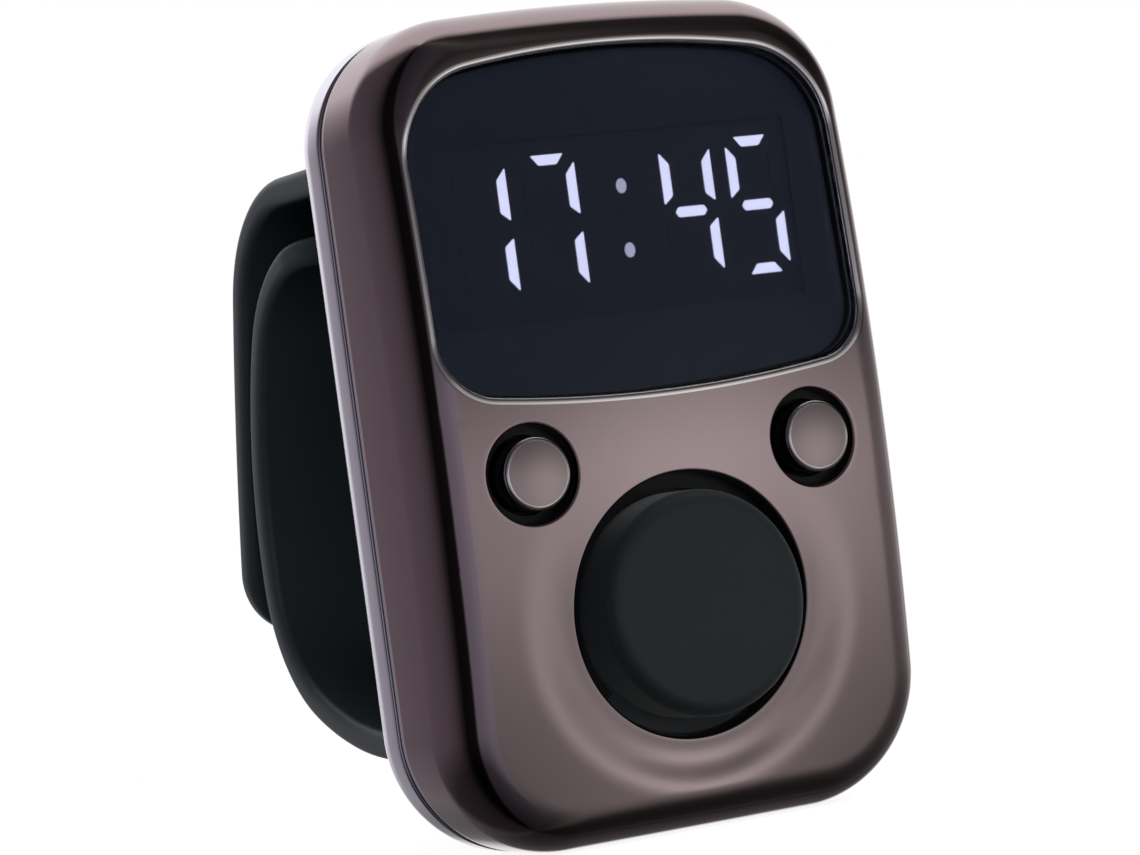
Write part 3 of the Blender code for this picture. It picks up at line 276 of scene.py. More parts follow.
def grid_faces(rows, columns, start):
    """Quads between a grid's neighbours, the last column joined to the first."""
    row, column = np.meshgrid(np.arange(rows - 1), np.arange(columns), indexing="ij")
    after = (column + 1) % columns
    quads = np.stack(
        [row * columns + column, row * columns + after, (row + 1) * columns + after,
         (row + 1) * columns + column], axis=-1,
    )
    return quads.reshape(-1, 4) + start


def weld(name, grids, kinds=None):
    """One closed mesh from grids of points, each closed round its rows. Shared rims are merged.

    kinds gives each grid's material number, all 0 if left out.
    """
    points, faces, start = [], [], 0
    for grid in grids:
        rows, columns = grid.shape[:2]
        points.append(grid.reshape(-1, 3))
        faces.append(grid_faces(rows, columns, start))
        start += rows * columns
    mesh = bpy.data.meshes.new(name)
    mesh.from_pydata(np.concatenate(points), [], np.concatenate(faces))
    if kinds is not None:
        marks = np.repeat(np.array(kinds, np.int32), [len(part) for part in faces])
        mesh.polygons.foreach_set("material_index", marks)
    work = bmesh.new()
    work.from_mesh(mesh)
    bmesh.ops.remove_doubles(work, verts=work.verts, dist=TOUCH)
    bmesh.ops.dissolve_degenerate(work, edges=work.edges, dist=TOUCH / 2)
    bmesh.ops.recalc_face_normals(work, faces=work.faces)
    work.to_mesh(mesh)
    work.free()
    return mesh


def loose(name, data):
    """A bare object for a mesh, a lamp or a camera."""
    made = bpy.data.objects.new(name, data)
    bpy.context.scene.collection.objects.link(made)
    return made


def settle(piece, body, replaced=()):
    """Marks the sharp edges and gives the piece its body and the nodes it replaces."""
    piece.data.set_sharp_from_angle(angle=SHARP)
    if body:
        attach(piece, body)
    if replaced:
        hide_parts(*replaced)


def place_piece(name, mesh, materials, body="root", replaced=()):
    """Puts a mesh in the scene, smooth but for its sharp edges, on its body."""
    made = loose(name, mesh)
    for material in materials:
        mesh.materials.append(material)
    mesh.shade_smooth()
    settle(made, body, replaced)
    return made


def cut_by(piece, cutters, operation="DIFFERENCE"):
    """The piece's mesh with the cutters' meshes taken out or joined, each in turn."""
    for cutter in cutters:
        step = piece.modifiers.new("cut", "BOOLEAN")
        step.operation = operation
        step.solver = "EXACT"
        step.object = cutter
    bpy.context.view_layer.update()
    graph = bpy.context.evaluated_depsgraph_get()
    mesh = bpy.data.meshes.new_from_object(piece.evaluated_get(graph))
    piece.modifiers.clear()
    piece.data = mesh
    for cutter in cutters:
        bpy.data.objects.remove(cutter, do_unlink=True)


def upright(flat, y):
    """Points (x, y, z) from (x, z) points and their depth, one number or one per point."""
    return np.stack([flat[..., 0], y + 0 * flat[..., 0], flat[..., 1]], axis=-1)


def spokes(middle, rim, rings):
    """A grid that runs from one middle point straight out to each point of the rim."""
    return middle + np.linspace(0, 1, rings)[:, None, None] * (rim - middle)


def capped(name, grid):
    """A closed tube: the grid with a flat end over its first and its last row."""
    ends = [np.stack([np.repeat(grid[k].mean(axis=0)[None], grid.shape[1], 0), grid[k]]) for k in (0, -1)]
    return weld(name, [grid] + ends)


def turned(name, profile, x, z, steps):
    """A surface of revolution about the Y direction through (x, z): profile is (radius, y) rows."""
    profile = np.asarray(profile, float)
    angles = np.arange(steps) * 2 * pi / steps
    radius, depth = profile[:, :1], profile[:, 1:]
    flat = np.stack([x + radius * np.cos(angles), z + radius * np.sin(angles)], axis=-1)
    return weld(name, [upright(flat, depth)])


# Outlines: lists of straight and round stretches, each with its length


class Outline:
    """A closed outline of lines and arcs, read by the distance run along it.

    A stretch is (length, point function, normal function); the point at a run inside a stretch is
    its start plus the run along a line, or its centre plus the radius turned by run / radius.
    """

    def __init__(self, stretches):
        self.stretches = stretches
        self.ends = np.cumsum([s[0] for s in stretches])
        self.total = self.ends[-1]

    def at(self, run):
        """Points and outward normals, as (x, z), at the given runs."""
        run = np.mod(np.asarray(run, float), self.total)
        points, normals = np.zeros((len(run), 2)), np.zeros((len(run), 2))
        start = 0.0
        for k, (_, point, normal) in enumerate(self.stretches):
            inside = (run >= start) & (run < self.ends[k])
            points[inside], normals[inside] = point(run[inside] - start), normal(run[inside] - start)
            start = self.ends[k]
        return points, normals

    def evenly(self, count):
        """That many points all the way round, and their normals."""
        return self.at(np.linspace(0, self.total, count, endpoint=False))


def line(first, second):
    """A straight stretch of an outline, its normal to the right of its way."""
    first, second = np.array(first), np.array(second)
    size = np.linalg.norm(second - first)
    heading = (second - first) / size
    facing = np.array([heading[1], -heading[0]])
    return (size, lambda s: first + s[:, None] * heading, lambda s: np.repeat([facing], len(s), 0))


def arc(centre, radius, first, second):
    """A round stretch from one angle to another, anticlockwise, its normal outward."""
    centre = np.array(centre)

    def facing(s):
        angle = first + s / radius
        return np.stack([np.cos(angle), np.sin(angle)], axis=1)

    return (radius * (second - first), lambda s: centre + radius * facing(s), facing)


def bowed_rectangle(half, bottom, top, low_corner, high_corner, low_bow, high_bow):
    """A rectangle with round corners and bowed ends, run anticlockwise from its lowest middle.

    A bow b over a half run c is one arc that spans t = 2 atan(b / c) each way on a radius of
    corner + c / sin t, so it meets the corner arcs without a kink.
    """

    def end(level, corner, bow, up):
        run = half - corner
        share = 2 * np.arctan2(bow, run)
        centre = level - up * corner
        middle = -pi / 2 if up < 0 else pi / 2
        first = arc((up * run, centre), corner, middle - pi / 2, middle - share)
        last = arc((-up * run, centre), corner, middle + share, middle + pi / 2)
        if not bow:
            return [first, line((up * run, level), (-up * run, level)), last]
        wide = corner + run / sin(share)
        wide_centre = centre - up * (wide - corner) * cos(share)
        return [first, arc((0.0, wide_centre), wide, middle - share, middle + share), last]

    right = line((half, bottom + low_corner), (half, top - high_corner))
    left = line((-half, top - high_corner), (-half, bottom + low_corner))
    stretches = [right] + end(top, high_corner, high_bow, 1)
    return Outline(stretches + [left] + end(bottom, low_corner, low_bow, -1))


def casing_outline(casing):
    """The casing seen from the front: its lower end flat, its upper end bowed."""
    return bowed_rectangle(
        HALF_WIDTH, 0.0, HEIGHT - casing.bow, casing.bottom_corner, casing.top_corner, 0.0, casing.bow
    )


def window_outline(display):
    """The window's opening, both ends bowed."""
    return bowed_rectangle(
        HALF_WIDTH - display.side_margin, display.bottom, display.bottom + display.height,
        display.bottom_corner, display.top_corner, display.bow, display.bow,
    )


# The casing's skin


def inset_of(x, z, casing):
    """Distance in from the casing's outline: from its side, its end or its round corner."""
    top = HEIGHT - casing.bow
    across = np.abs(x)
    side = HALF_WIDTH - across
    low = casing.bottom_corner - np.hypot(
        across - (HALF_WIDTH - casing.bottom_corner), casing.bottom_corner - z
    )
    run = HALF_WIDTH - casing.top_corner
    share = 2 * np.arctan2(casing.bow, run)
    centre = top - casing.top_corner
    high = casing.top_corner - np.hypot(across - run, z - centre)
    wide = casing.top_corner + run / sin(share)
    ceiling = wide - np.hypot(across, z - centre + (wide - casing.top_corner) * cos(share))
    in_low = (across > HALF_WIDTH - casing.bottom_corner) & (z < casing.bottom_corner)
    in_high = (z > centre) & (np.arctan2(z - centre, across - run) < pi / 2 - share)
    plain = np.minimum(side, np.minimum(z, ceiling))
    return np.where(in_low, low, np.where(in_high, high, plain))


def face_depth(x, z, casing):
    """A crown that falls back with the squares of height and width, and a dish, deepest below.

    The dish's depth goes with the square of half of 1 - sine, at the sine of the place's angle.
    """
    middle = HEIGHT / 2
    crown = casing.crown * ((z - middle) / middle) ** 2
    crown = crown + casing.side_crown * (x / HALF_WIDTH) ** 2
    away = np.maximum(np.hypot(x - MAIN_X, z - MAIN_Z), TOUCH)
    share = np.clip((casing.dish_radius - away) / (casing.dish_radius - casing.dish_floor), 0, 1)
    dish = casing.dish * ((1 - (z - MAIN_Z) / away) / 2) ** 2
    return crown + dish * share**3 * (10 - 15 * share + 6 * share**2)


def fillet_depth(inset, casing):
    """A quarter ellipse: deep (1 - sqrt(1 - (1 - inset / across)^2)) inside the fillet's width."""
    share = np.clip(1 - inset / casing.fillet_across, 0, 1)
    return casing.fillet_deep * (1 - np.sqrt(1 - share**2))


def skin(flat, casing, behind=0.0):
    """Points of the front face over the (x, z) points, behind it by a depth."""
    x, z = flat[..., 0], flat[..., 1]
    depth = face_depth(x, z, casing) + fillet_depth(inset_of(x, z, casing), casing)
    return upright(flat, FRONT_Y + depth + behind)


def crowned(flat, casing, behind):
    """Points behind the face's crown and dish, without its fillet."""
    return upright(flat, FRONT_Y + face_depth(flat[..., 0], flat[..., 1], casing) + behind)


def between(inner, outer, rows):
    """A grid of (x, z) points that runs straight from each inner point to its outer one."""
    share = np.linspace(0, 1, rows)[:, None, None]
    return inner[None] * (1 - share) + outer[None] * share


def stretch(first, second, spacing):
    """Even points from one (x, z) place to another, both ends included."""
    first, second = np.array(first), np.array(second)
    count = max(2, int(round(np.linalg.norm(second - first) / spacing)) + 1)
    return first + np.linspace(0, 1, count)[:, None] * (second - first)


BLOCK_INSET = 0.0010
SPACING = 0.00025
REAR_SPACING = SPACING * 1.2
WINDOW_SPACING = SPACING * 1.6
SEPARATOR_MIDDLE_Z = 0.02240
SEPARATOR_RISE = 0.00040
CELL_TOP_X = 0.0050
CELL_KNEE = (0.0056, 0.01735)
CELL_LOW_Z = 0.0150


def separator(first_x, second_x):
    """Points of the line between the window's block and the buttons' blocks, a shallow parabola."""
    count = int(round(abs(second_x - first_x) / SPACING)) + 1
    x = np.linspace(first_x, second_x, count)
    edge = HALF_WIDTH - BLOCK_INSET
    return np.stack([x, SEPARATOR_MIDDLE_Z + SEPARATOR_RISE * (x / edge) ** 2], axis=1)


def joined(*parts):
    """A closed loop from parts that each end where the next one starts."""
    return np.concatenate([part[:-1] for part in parts])


def outline_part(outline, first, second, inset):
    """Points of the casing's outline between two runs, drawn in by an inset."""
    count = int(round((second - first) / SPACING)) + 1
    points, normals = outline.at(np.linspace(first, second, count))
    return points - inset * normals


def front_blocks(casing):
    """Loops that divide the front face: round the window, both small buttons and the main one."""
    outline = casing_outline(casing)
    edge = HALF_WIDTH - BLOCK_INSET
    sill_z = SEPARATOR_MIDDLE_Z + SEPARATOR_RISE
    run_r1, run_r2 = CELL_LOW_Z - casing.bottom_corner, sill_z - casing.bottom_corner
    run_l2, run_l1 = outline.ends[4] - run_r2, outline.ends[4] - run_r1
    runs = (run_r1, run_r2, run_l2, run_l1, outline.total + run_r1)
    right_side, over_top, left_side, under = [
        outline_part(outline, first, second, BLOCK_INSET) for first, second in zip(runs, runs[1:])
    ]
    marks = (-edge, -CELL_TOP_X, CELL_TOP_X, edge)
    line_left, line_middle, line_right = [separator(a, b) for a, b in zip(marks, marks[1:])]
    knee_left, knee_right = (-CELL_KNEE[0], CELL_KNEE[1]), CELL_KNEE
    down_left = stretch(line_left[-1], knee_left, SPACING)
    out_left = stretch(knee_left, left_side[-1], SPACING)
    down_right = stretch(line_right[0], knee_right, SPACING)
    out_right = stretch(knee_right, right_side[0], SPACING)
    window_loop = joined(over_top, line_left, line_middle, line_right)
    left_loop = joined(line_left[::-1], left_side, out_left[::-1], down_left[::-1])
    right_loop = joined(line_right[::-1], down_right, out_right, right_side)
    main_loop = joined(
        line_middle[::-1], down_left, out_left, under, out_right[::-1], down_right[::-1]
    )
    rim_loop = joined(right_side, over_top, left_side, under)
    return window_loop, left_loop, right_loop, main_loop, rim_loop


def circle_for(loop, x, z, radius):
    """The points of a circle that lie at the same angles as the loop's points, and their normals."""
    away = loop - np.array([x, z])
    facing = away / np.linalg.norm(away, axis=1)[:, None]
    return np.array([x, z]) + radius * facing, facing


def window_for(loop, outline):
    """Points of the window's outline matched to the loop by runs between corners, with normals."""
    steps = np.linalg.norm(np.diff(np.vstack([loop, loop[:1]]), axis=0), axis=1)
    runs = np.concatenate([[0.0], np.cumsum(steps)])[:-1]
    total = steps.sum()
    x, z = loop[:, 0], loop[:, 1]
    corners = [np.argmax(x + z), np.argmax(z - x), np.argmin(x + z), np.argmax(x - z)]
    high_right, high_left, low_left, low_right = runs[corners]
    top = runs[np.argmin(np.hypot(x, z - z.max()))]
    low_right += total * (low_right < low_left)
    sill = (low_left + low_right) / 2
    outer = np.array([high_right, top, high_left, low_left, sill, low_right])
    ends = np.concatenate([[0.0], outline.ends])
    inner = ((ends[:-1] + ends[1:]) / 2)[[1, 2, 3, 5, 6, 7]]
    wide_outer = np.concatenate([outer - total, outer, outer + total])
    wide_inner = np.concatenate([inner - outline.total, inner, inner + outline.total])
    return outline.at(np.interp(runs, wide_outer, wide_inner))


def rolled_rim(hole, facing, radius, lip, casing, steps=7):
    """A hole's rim, from outside in: a level lip, a quarter-round, and the straight wall behind it.

    The lip keeps the depth of its outer edge, so it faces straight forward all the way round.
    """
    level = skin(hole + (radius + lip) * facing, casing)[:, 1]
    round_rows = [(radius * (1 - sin(a)), radius * (1 - cos(a))) for a in np.linspace(0, pi / 2, steps)]
    rows = [(radius + lip, 0.0), (radius + lip * 0.5, 0.0)] + round_rows
    wall = skin(hole, casing)
    wall[:, 1] += casing.face_wall
    return np.array([upright(hole + away * facing, level + drop) for away, drop in rows] + [wall])


FACE_ROWS = {"window": 9, "side": 14, "main": 30}
BACK_ROWS = {"window": 3, "side": 4, "main": 8}
FILLET_ROWS = 16


def front_shell_mesh(casing, display, buttons):
    """The plated front casing: face blocks, rolled rims, oval fillet, side wall and inner skin."""
    window_loop, left_loop, right_loop, main_loop, rim_loop = front_blocks(casing)
    hole, facing = window_for(window_loop, window_outline(display))
    holes = [("window", window_loop, hole, facing, casing.rim)]
    for loop, x in ((left_loop, LEFT_X), (right_loop, RIGHT_X)):
        hole, facing = circle_for(loop, x, SIDE_Z, buttons.side_recess)
        holes.append(("side", loop, hole, facing, casing.recess_rim))
    hole, facing = circle_for(main_loop, MAIN_X, MAIN_Z, buttons.main_recess)
    holes.append(("main", main_loop, hole, facing, casing.recess_rim))
    grids, kinds = [], []
    for kind, loop, hole, facing, radius in holes:
        lip = casing.lip if kind == "window" else casing.recess_rim / 4
        rim = rolled_rim(hole, facing, radius, lip, casing)
        face = skin(between(hole + (radius + lip) * facing, loop, FACE_ROWS[kind]), casing)
        back = skin(between(hole, loop, BACK_ROWS[kind]), casing, casing.face_wall)
        grids += [face, rim[:-1], rim[-2:], back]
        # The window's rim takes the second material, a painted highlight.
        kinds += [0, int(kind == "window"), 0, 0]
    outer, normals = matched_outline(rim_loop, casing)
    start = 1 - BLOCK_INSET / casing.fillet_across
    rows = []
    for share in np.cos(np.linspace(np.arccos(start), 0, FILLET_ROWS)):
        row = crowned(outer - casing.fillet_across * (1 - share) * normals, casing, 0.0)
        row[:, 1] += casing.fillet_deep * (1 - np.sqrt(max(0.0, 1 - share**2)))
        rows.append(row)
    seam, edge = FRONT_Y + casing.seam_end, casing.seam_edge
    profile = [(0.0, seam - edge * 8), (0.0, seam - edge * 3)]
    profile += [(edge * (1 - cos(a)), seam - edge * (1 - sin(a))) for a in np.linspace(0, pi / 2, 6)]
    profile += [(casing.wall, seam)]
    rows += [upright(outer - inset * normals, y) for inset, y in profile]
    rows.append(skin(outer - BLOCK_INSET * normals, casing, casing.face_wall))
    grids.append(np.array(rows))
    return weld("front_shell_skin", grids, kinds + [0])


def matched_outline(loop, casing):
    """The casing's outline points, and their normals, that the inset loop was drawn in from."""
    x, z = loop[:, 0], loop[:, 1]
    step = SPACING * 0.01
    slope_x = (inset_of(x + step, z, casing) - inset_of(x - step, z, casing)) / (2 * step)
    slope_z = (inset_of(x, z + step, casing) - inset_of(x, z - step, casing)) / (2 * step)
    normals = -np.stack([slope_x, slope_z], axis=1)
    normals /= np.linalg.norm(normals, axis=1)[:, None]
    return loop + BLOCK_INSET * normals, normals


SOCKET_ROOM = 0.0002
SOCKET_REACH = 0.0016
SCREWS = [f"case_screw_{v}_{h}" for v in ("lower", "upper") for h in ("left", "right")]


def socket_cutter():
    """A round-ended slot through the right-hand wall, wider than the socket by its running room."""
    high = (SOCKET_HIGH[1] - SOCKET_LOW[1]) / 2 + SOCKET_ROOM
    run = (SOCKET_HIGH[2] - SOCKET_LOW[2]) / 2 + SOCKET_ROOM - high
    turn = np.linspace(0, pi, 17)
    y = np.concatenate([high * np.cos(turn), -high * np.cos(turn)])
    z = np.concatenate([run + high * np.sin(turn), -run - high * np.sin(turn)])
    x = np.array([HALF_WIDTH - SOCKET_REACH, HALF_WIDTH + SOCKET_REACH])[:, None] + 0 * y
    walls = np.stack([x, SOCKET_Y + y + 0 * x, SOCKET_Z + z + 0 * x], axis=-1)
    return loose("socket_slot", capped("socket_slot", walls))


def screw_places():
    """Middles of the four case screws, read from the frame."""
    middles = [middle_of(*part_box(name)) for name in SCREWS]
    return [(x, z) for x, _, z in middles]


LIP_PLAY = 0.0003
LIP_THICKNESS = 0.0006


def rear_shell_mesh(casing):
    """The bright rear casing: side, round fillet and flat back, with a seam bead and a hollow inside."""
    outline = casing_outline(casing)
    outer, normals = outline.evenly(int(round(outline.total / REAR_SPACING)))
    front, back = FRONT_Y + casing.rear_start, REAR_HIGH[1]
    edge, fillet, floor = casing.seam_edge, casing.rear_fillet, casing.groove
    profile = [(fillet * (1 - cos(a)), back - fillet + fillet * sin(a)) for a in np.linspace(pi / 2, 0, 22)]
    profile += [(0.0, front + edge * 2)]
    profile += [(edge * (1 - sin(a)), front + edge * (1 - cos(a))) for a in np.linspace(pi / 2, 0, 6)]
    step = FRONT_Y + casing.seam_end + casing.seam_step
    middle = (front + step) / 2
    profile += [(floor, front)]
    profile += [
        (floor - casing.bead_rise * sin(a), middle + casing.bead * cos(a)) for a in np.linspace(0, pi, 11)
    ]
    lip_front = REAR_LOW[1]
    lip_outer = casing.wall + LIP_PLAY
    lip_inner = lip_outer + LIP_THICKNESS
    profile += [(floor, step), (lip_outer, step)]
    profile += [(lip_outer, lip_front), (lip_inner, lip_front), (lip_inner, front + casing.wall)]
    inner_back, inner = back - casing.wall, fillet - casing.wall
    profile += [
        (casing.wall + inner * (1 - cos(a)), inner_back - inner + inner * sin(a))
        for a in np.linspace(0, pi / 2, 8)
    ]
    rows = np.array([upright(outer - inset * normals, y) for inset, y in profile])
    caps = [
        spokes(np.array([0.0, y, HEIGHT / 2]), row, rings)
        for row, y, rings in ((rows[0], back, 8), (rows[-1], inner_back, 3))
    ]
    return weld("rear_shell_skin", [rows] + caps)


SCREW_WELL_RADIUS = 0.0015
SCREW_POST_RADIUS = 0.0016
SCREW_HOLE_RADIUS = 0.0010
SCREW_WELL_DEPTH = 0.0013
SCREW_OVERRUN = 0.0010
# No common factor, so that no corner of a well falls on an edge of its post
POST_STEPS = 37
WELL_STEPS = 46


def dress_rear(piece, casing):
    """Posts for the case screws and their wells, and the socket's slot."""
    back = REAR_HIGH[1]
    lip, deep = REAR_LOW[1] + casing.seam_edge, back - casing.wall / 2
    start, floor, end = lip - SCREW_OVERRUN, back - SCREW_WELL_DEPTH, back + SCREW_OVERRUN
    post = [(0.0, lip), (SCREW_POST_RADIUS, lip), (SCREW_POST_RADIUS, deep), (0.0, deep)]
    well = [(0.0, start), (SCREW_HOLE_RADIUS, start), (SCREW_HOLE_RADIUS, floor)]
    well += [(SCREW_WELL_RADIUS, floor), (SCREW_WELL_RADIUS, end), (0.0, end)]
    places = screw_places()
    posts = [loose("post", turned("post", post, x, z, POST_STEPS)) for x, z in places]
    wells = [loose("well", turned("well", well, x, z, WELL_STEPS)) for x, z in places]
    cut_by(piece, posts, "UNION")
    cut_by(piece, wells + [socket_cutter()])


def plated_dark(casing):
    # Electroplated ABS, dark chrome: the eye sees a mirror-like brown that turns violet and black.
    return surface(
        "dark_electroplated_abs", casing.colour, 0.94, roughness=0.10, spread=0.02, grain=0.0006,
        metallic=1.0, patch=0.010,
    )[0]


def highlight_plating(name):
    # The same plating made near white, a painted highlight on a rim: a thin pinkish-white line.
    return surface(
        name, "#fff8f8", "#f8f0f0", roughness=0.15, spread=0.02, grain=0.0006, metallic=1.0, patch=0.010
    )[0]


def plated_bright(casing):
    # Electroplated ABS, satin nickel: the eye sees a soft silver with a lilac cast.
    return surface(
        "satin_electroplated_abs", casing.rear_colour, 0.93, roughness=0.18, spread=0.03,
        grain=0.0006, metallic=1.0, patch=0.008,
    )[0]


class COUNTER_OT_casing(bpy.types.Operator):
    """Builds the plated front and rear casings"""

    bl_idname = "counter.casing"
    bl_label = "Casing"

    def execute(self, context):
        scene = context.scene
        casing = scene.counter_casing
        mesh = front_shell_mesh(casing, scene.counter_display, scene.counter_buttons)
        # The second material is a painted highlight on the window's rim.
        materials = [plated_dark(casing), highlight_plating("painted_highlight_edge")]
        front = place_piece("front_casing", mesh, materials, None)
        cut_by(front, [socket_cutter()])
        settle(front, "root", ["front_shell"])
        rear = place_piece("rear_casing", rear_shell_mesh(casing), [plated_bright(casing)], None)
        dress_rear(rear, casing)
        settle(rear, "root", ["rear_shell"])
        return {"FINISHED"}


# Window and display


LENS_GROW = 0.0004
LENS_STEP = 0.00015
BORDER_WIDTH = 0.0002
BAR_PROUD = 0.00005
FILM_STEPS = 400
FILM_THICKNESS = 0.0001
FILM_GAP = 0.00005
# Share of the housing's half size that the film leaves open
FILM_OPENING = (0.985, 0.97)


def plate_grid(outline, casing, grow, behind, rings):
    """A disc-like grid over the face: the outline drawn in towards its middle, ring by ring."""
    points, normals = outline.evenly(int(round(outline.total / WINDOW_SPACING)))
    rim = points + grow * normals
    middle = (rim.max(axis=0) + rim.min(axis=0)) / 2
    return crowned(spokes(middle, rim, rings), casing, behind)


def lens_mesh(casing, display):
    """The window: a plate that follows the face's crown, with a ledge behind the casing's rim."""
    outline = window_outline(display)
    step, deep = casing.face_wall + LENS_STEP, casing.face_wall + display.thickness
    inner = plate_grid(outline, casing, -casing.recess_rim, display.setback, 24)
    ledge = [plate_grid(outline, casing, g, step, 2)[-1:] for g in (-casing.recess_rim, LENS_GROW)]
    back = plate_grid(outline, casing, LENS_GROW, deep, 12)
    side = np.concatenate([inner[-1:]] + ledge + [back[-1:]])
    return weld("window_plate", [inner, side, back])


def film_meshes(casing, display):
    """The film behind the window, round an oblong opening for the display, and its black border."""
    outline = window_outline(display)
    points, normals = outline.evenly(FILM_STEPS)
    rim = points + LENS_GROW * normals
    border = points - BORDER_WIDTH * normals
    middle = np.array([0.0, DISPLAY_Z])
    away = border - middle
    half = np.array([HOUSING_HIGH[0], (HOUSING_HIGH[2] - HOUSING_LOW[2]) / 2]) * FILM_OPENING
    share = np.min(half / np.maximum(np.abs(away), TOUCH), axis=1)
    opening = middle + away * share[:, None]
    front = casing.face_wall + display.thickness + FILM_GAP
    sill = HOUSING_LOW[1] + BAR_PROUD - FILM_THICKNESS - FILM_GAP

    def film(name, inner, outer, rows, lean):
        """lean 1 brings the inner edge to the display's front, 0 keeps it behind the window."""
        near = crowned(between(inner, outer, rows), casing, front)
        share = lean * np.linspace(1, 0, rows)[:, None]
        near[..., 1] = near[..., 1] * (1 - share) + sill * share
        far = near + np.array([0.0, FILM_THICKNESS, 0.0])
        walls = [np.stack([near[k], far[k]]) for k in (0, -1)]
        return weld(name, [near, far] + walls)

    return film("window_film", opening, border, 7, 1.0), film("window_border", border, rim, 3, 0.0)


MASK_STEPS = 240


def mask_mesh(display):
    """The display's black body: a round-cornered oblong with a flat front and back."""
    corner = display.mask_corner
    outline = bowed_rectangle(
        HOUSING_HIGH[0], HOUSING_LOW[2], HOUSING_HIGH[2], corner, corner, 0.0, 0.0
    )
    points, normals = outline.evenly(MASK_STEPS)
    middle = np.array([0.0, DISPLAY_Z])
    edge = corner / 3
    front, back = HOUSING_LOW[1] + BAR_PROUD, HOUSING_HIGH[1]
    rows = list(upright(spokes(middle, points - edge * normals, 5), front))
    for a in np.linspace(0, pi / 2, 5)[1:]:
        rows.append(upright(points - edge * (1 - sin(a)) * normals, front + edge * (1 - cos(a))))
    rows += [upright(points, back), upright(0 * points + middle, back)]
    return weld("display_mask", [np.array(rows)])


# Which bars of a digit are lit: top, middle, bottom, upper left, upper right, lower left, lower right
LIT_BARS = {
    "digit_1": "0000101",
    "digit_2": "1000101",
    "digit_3": "0101101",
    "digit_4": "1111001",
}
BAR_DEPTH = 0.0009
# Shares of a bar's width: the cuts of its ends and the rounding of its corners
LONG_CUT = 1.15
SHORT_CUT = 0.8
TIP_CUT = 0.35
BAR_ROUNDING = 0.16
# Height over width of the colon's dots
DOT_STRETCH = 1.3
DOT_STEPS = 24


def upright_bar(x, z, side, row, display):
    """An upright: its long side outside, its ends cut steeply towards its neighbours."""
    half, long_cut, short_cut = display.bar / 2, display.bar * LONG_CUT, display.bar * SHORT_CUT
    low, high = display.waist_gap, display.half_height - display.end_gap
    shape = np.array([(half, low), (half, high), (-half, high - long_cut), (-half, low + short_cut)])
    return shape * [side, row] + [x + side * display.half_width, z]


def level_bar(x, z, row, display):
    """An end bar with its long side outside, or for row 0 the middle bar with pointed ends."""
    half, arm, cut = display.bar / 2, display.end_bar / 2, display.bar * SHORT_CUT
    if row:
        shape = np.array([(-arm, half), (cut - arm, -half), (arm - cut, -half), (arm, half)])
        return shape * [1, row] + [x, z + row * display.half_height]
    tip = display.bar * TIP_CUT
    corner = [(-arm, 0.0), (tip - arm, -half), (arm - tip, -half)]
    return np.array(corner + [(-a, -b) for a, b in corner]) + [x, z]


def rounded_bar(shape, edge, steps=4):
    """The polygon's corners rounded: each corner is an arc of quadratic weight over its two sides."""
    before, after = np.roll(shape, 1, axis=0), np.roll(shape, -1, axis=0)

    def toward(goal):
        way = goal - shape
        return shape + way / np.linalg.norm(way, axis=1)[:, None] * edge

    first, last = toward(before), toward(after)
    t = np.linspace(0, 1, steps)[None, :, None]
    curve = (1 - t) ** 2 * first[:, None] + 2 * t * (1 - t) * shape[:, None] + t**2 * last[:, None]
    return curve.reshape(-1, 2)


def bar_grid(shape, front, back):
    """The walls and both ends of one bar."""
    middle = shape.mean(axis=0)
    rows = ((0, front), (1, front), (1, back), (0, back))
    return np.array([upright(middle + (shape - middle) * k, y) for k, y in rows])


def digit_bars(x, display):
    """The seven bars of the digit at x, in the order of the table of lit bars."""
    z = DISPLAY_Z + display.digit_lift
    bars = [level_bar(x, z, row, display) for row in (1, 0, -1)]
    return bars + [upright_bar(x, z, side, row, display) for row in (1, -1) for side in (-1, 1)]


def guide_piece(name, shapes, lit, materials, node):
    """A digit's bars in front of its slab; each bar's faces take the lit or the dark diffuser."""
    front = HOUSING_LOW[1]
    grids = [bar_grid(shape, front, front + BAR_DEPTH) for shape in shapes]
    mesh = weld(name, grids, [int(not on) for on in lit])
    place_piece(name, mesh, materials, "root", [node])


def window_material(display):
    # Smoked acrylic (PMMA) with a coat against glare, here a dark specular tint: the eye sees
    # near-black navy, hardly a reflection, and the lit bars behind it.
    return surface(
        "smoked_acrylic", display.tint, 0.92, roughness=0.10, spread=0.02, grain=0.0010, patch=0.006,
        IOR=1.49, Transmission_Weight=1.0, Specular_Tint=(0.12, 0.12, 0.13, 1.0),
    )[0]


def film_material(name, display, grain, glow):
    # Screen-printed ink on film, or the milky diffuser unlit, with a weak glow that is painted light:
    # an even navy in place of the shade that falls on them. The eye sees an even deep navy.
    return surface(
        name, display.film, 0.93, roughness=0.6, spread=0.05, grain=grain,
        Emission_Color=tuple(display.painted_glow), Emission_Strength=glow,
    )[0]


def lit_material(name, display, strength):
    # Milky diffuser with a white LED behind it: an even cool white in soft, slightly dimmer patches.
    made, tree, shader = surface(
        name, "#e6e6f2", "#d8d8ea", roughness=0.5, spread=0.05, grain=0.0004, Emission_Strength=strength
    )
    place = add(tree, "TexCoord").outputs["Object"]
    cloud = add(tree, "TexNoise", Vector=place, Scale=1.0 / CLOUD_SIZE, Detail=1.0).outputs["Fac"]
    glow = tuple(display.glow)
    light = add(tree, "Mix", MIXED, _0=cloud, _6=glow, _7=shade(glow, DIM_SHARE)).outputs[2]
    tree.links.new(light, shader.inputs["Emission Color"])
    return made


LIT_STRENGTH = 2.6
DOT_STRENGTH = 1.1
# Strengths of the painted navy glow on the film and the display's body, and on the unlit bars
FILM_PAINTED_GLOW = 0.62
UNLIT_PAINTED_GLOW = 0.68
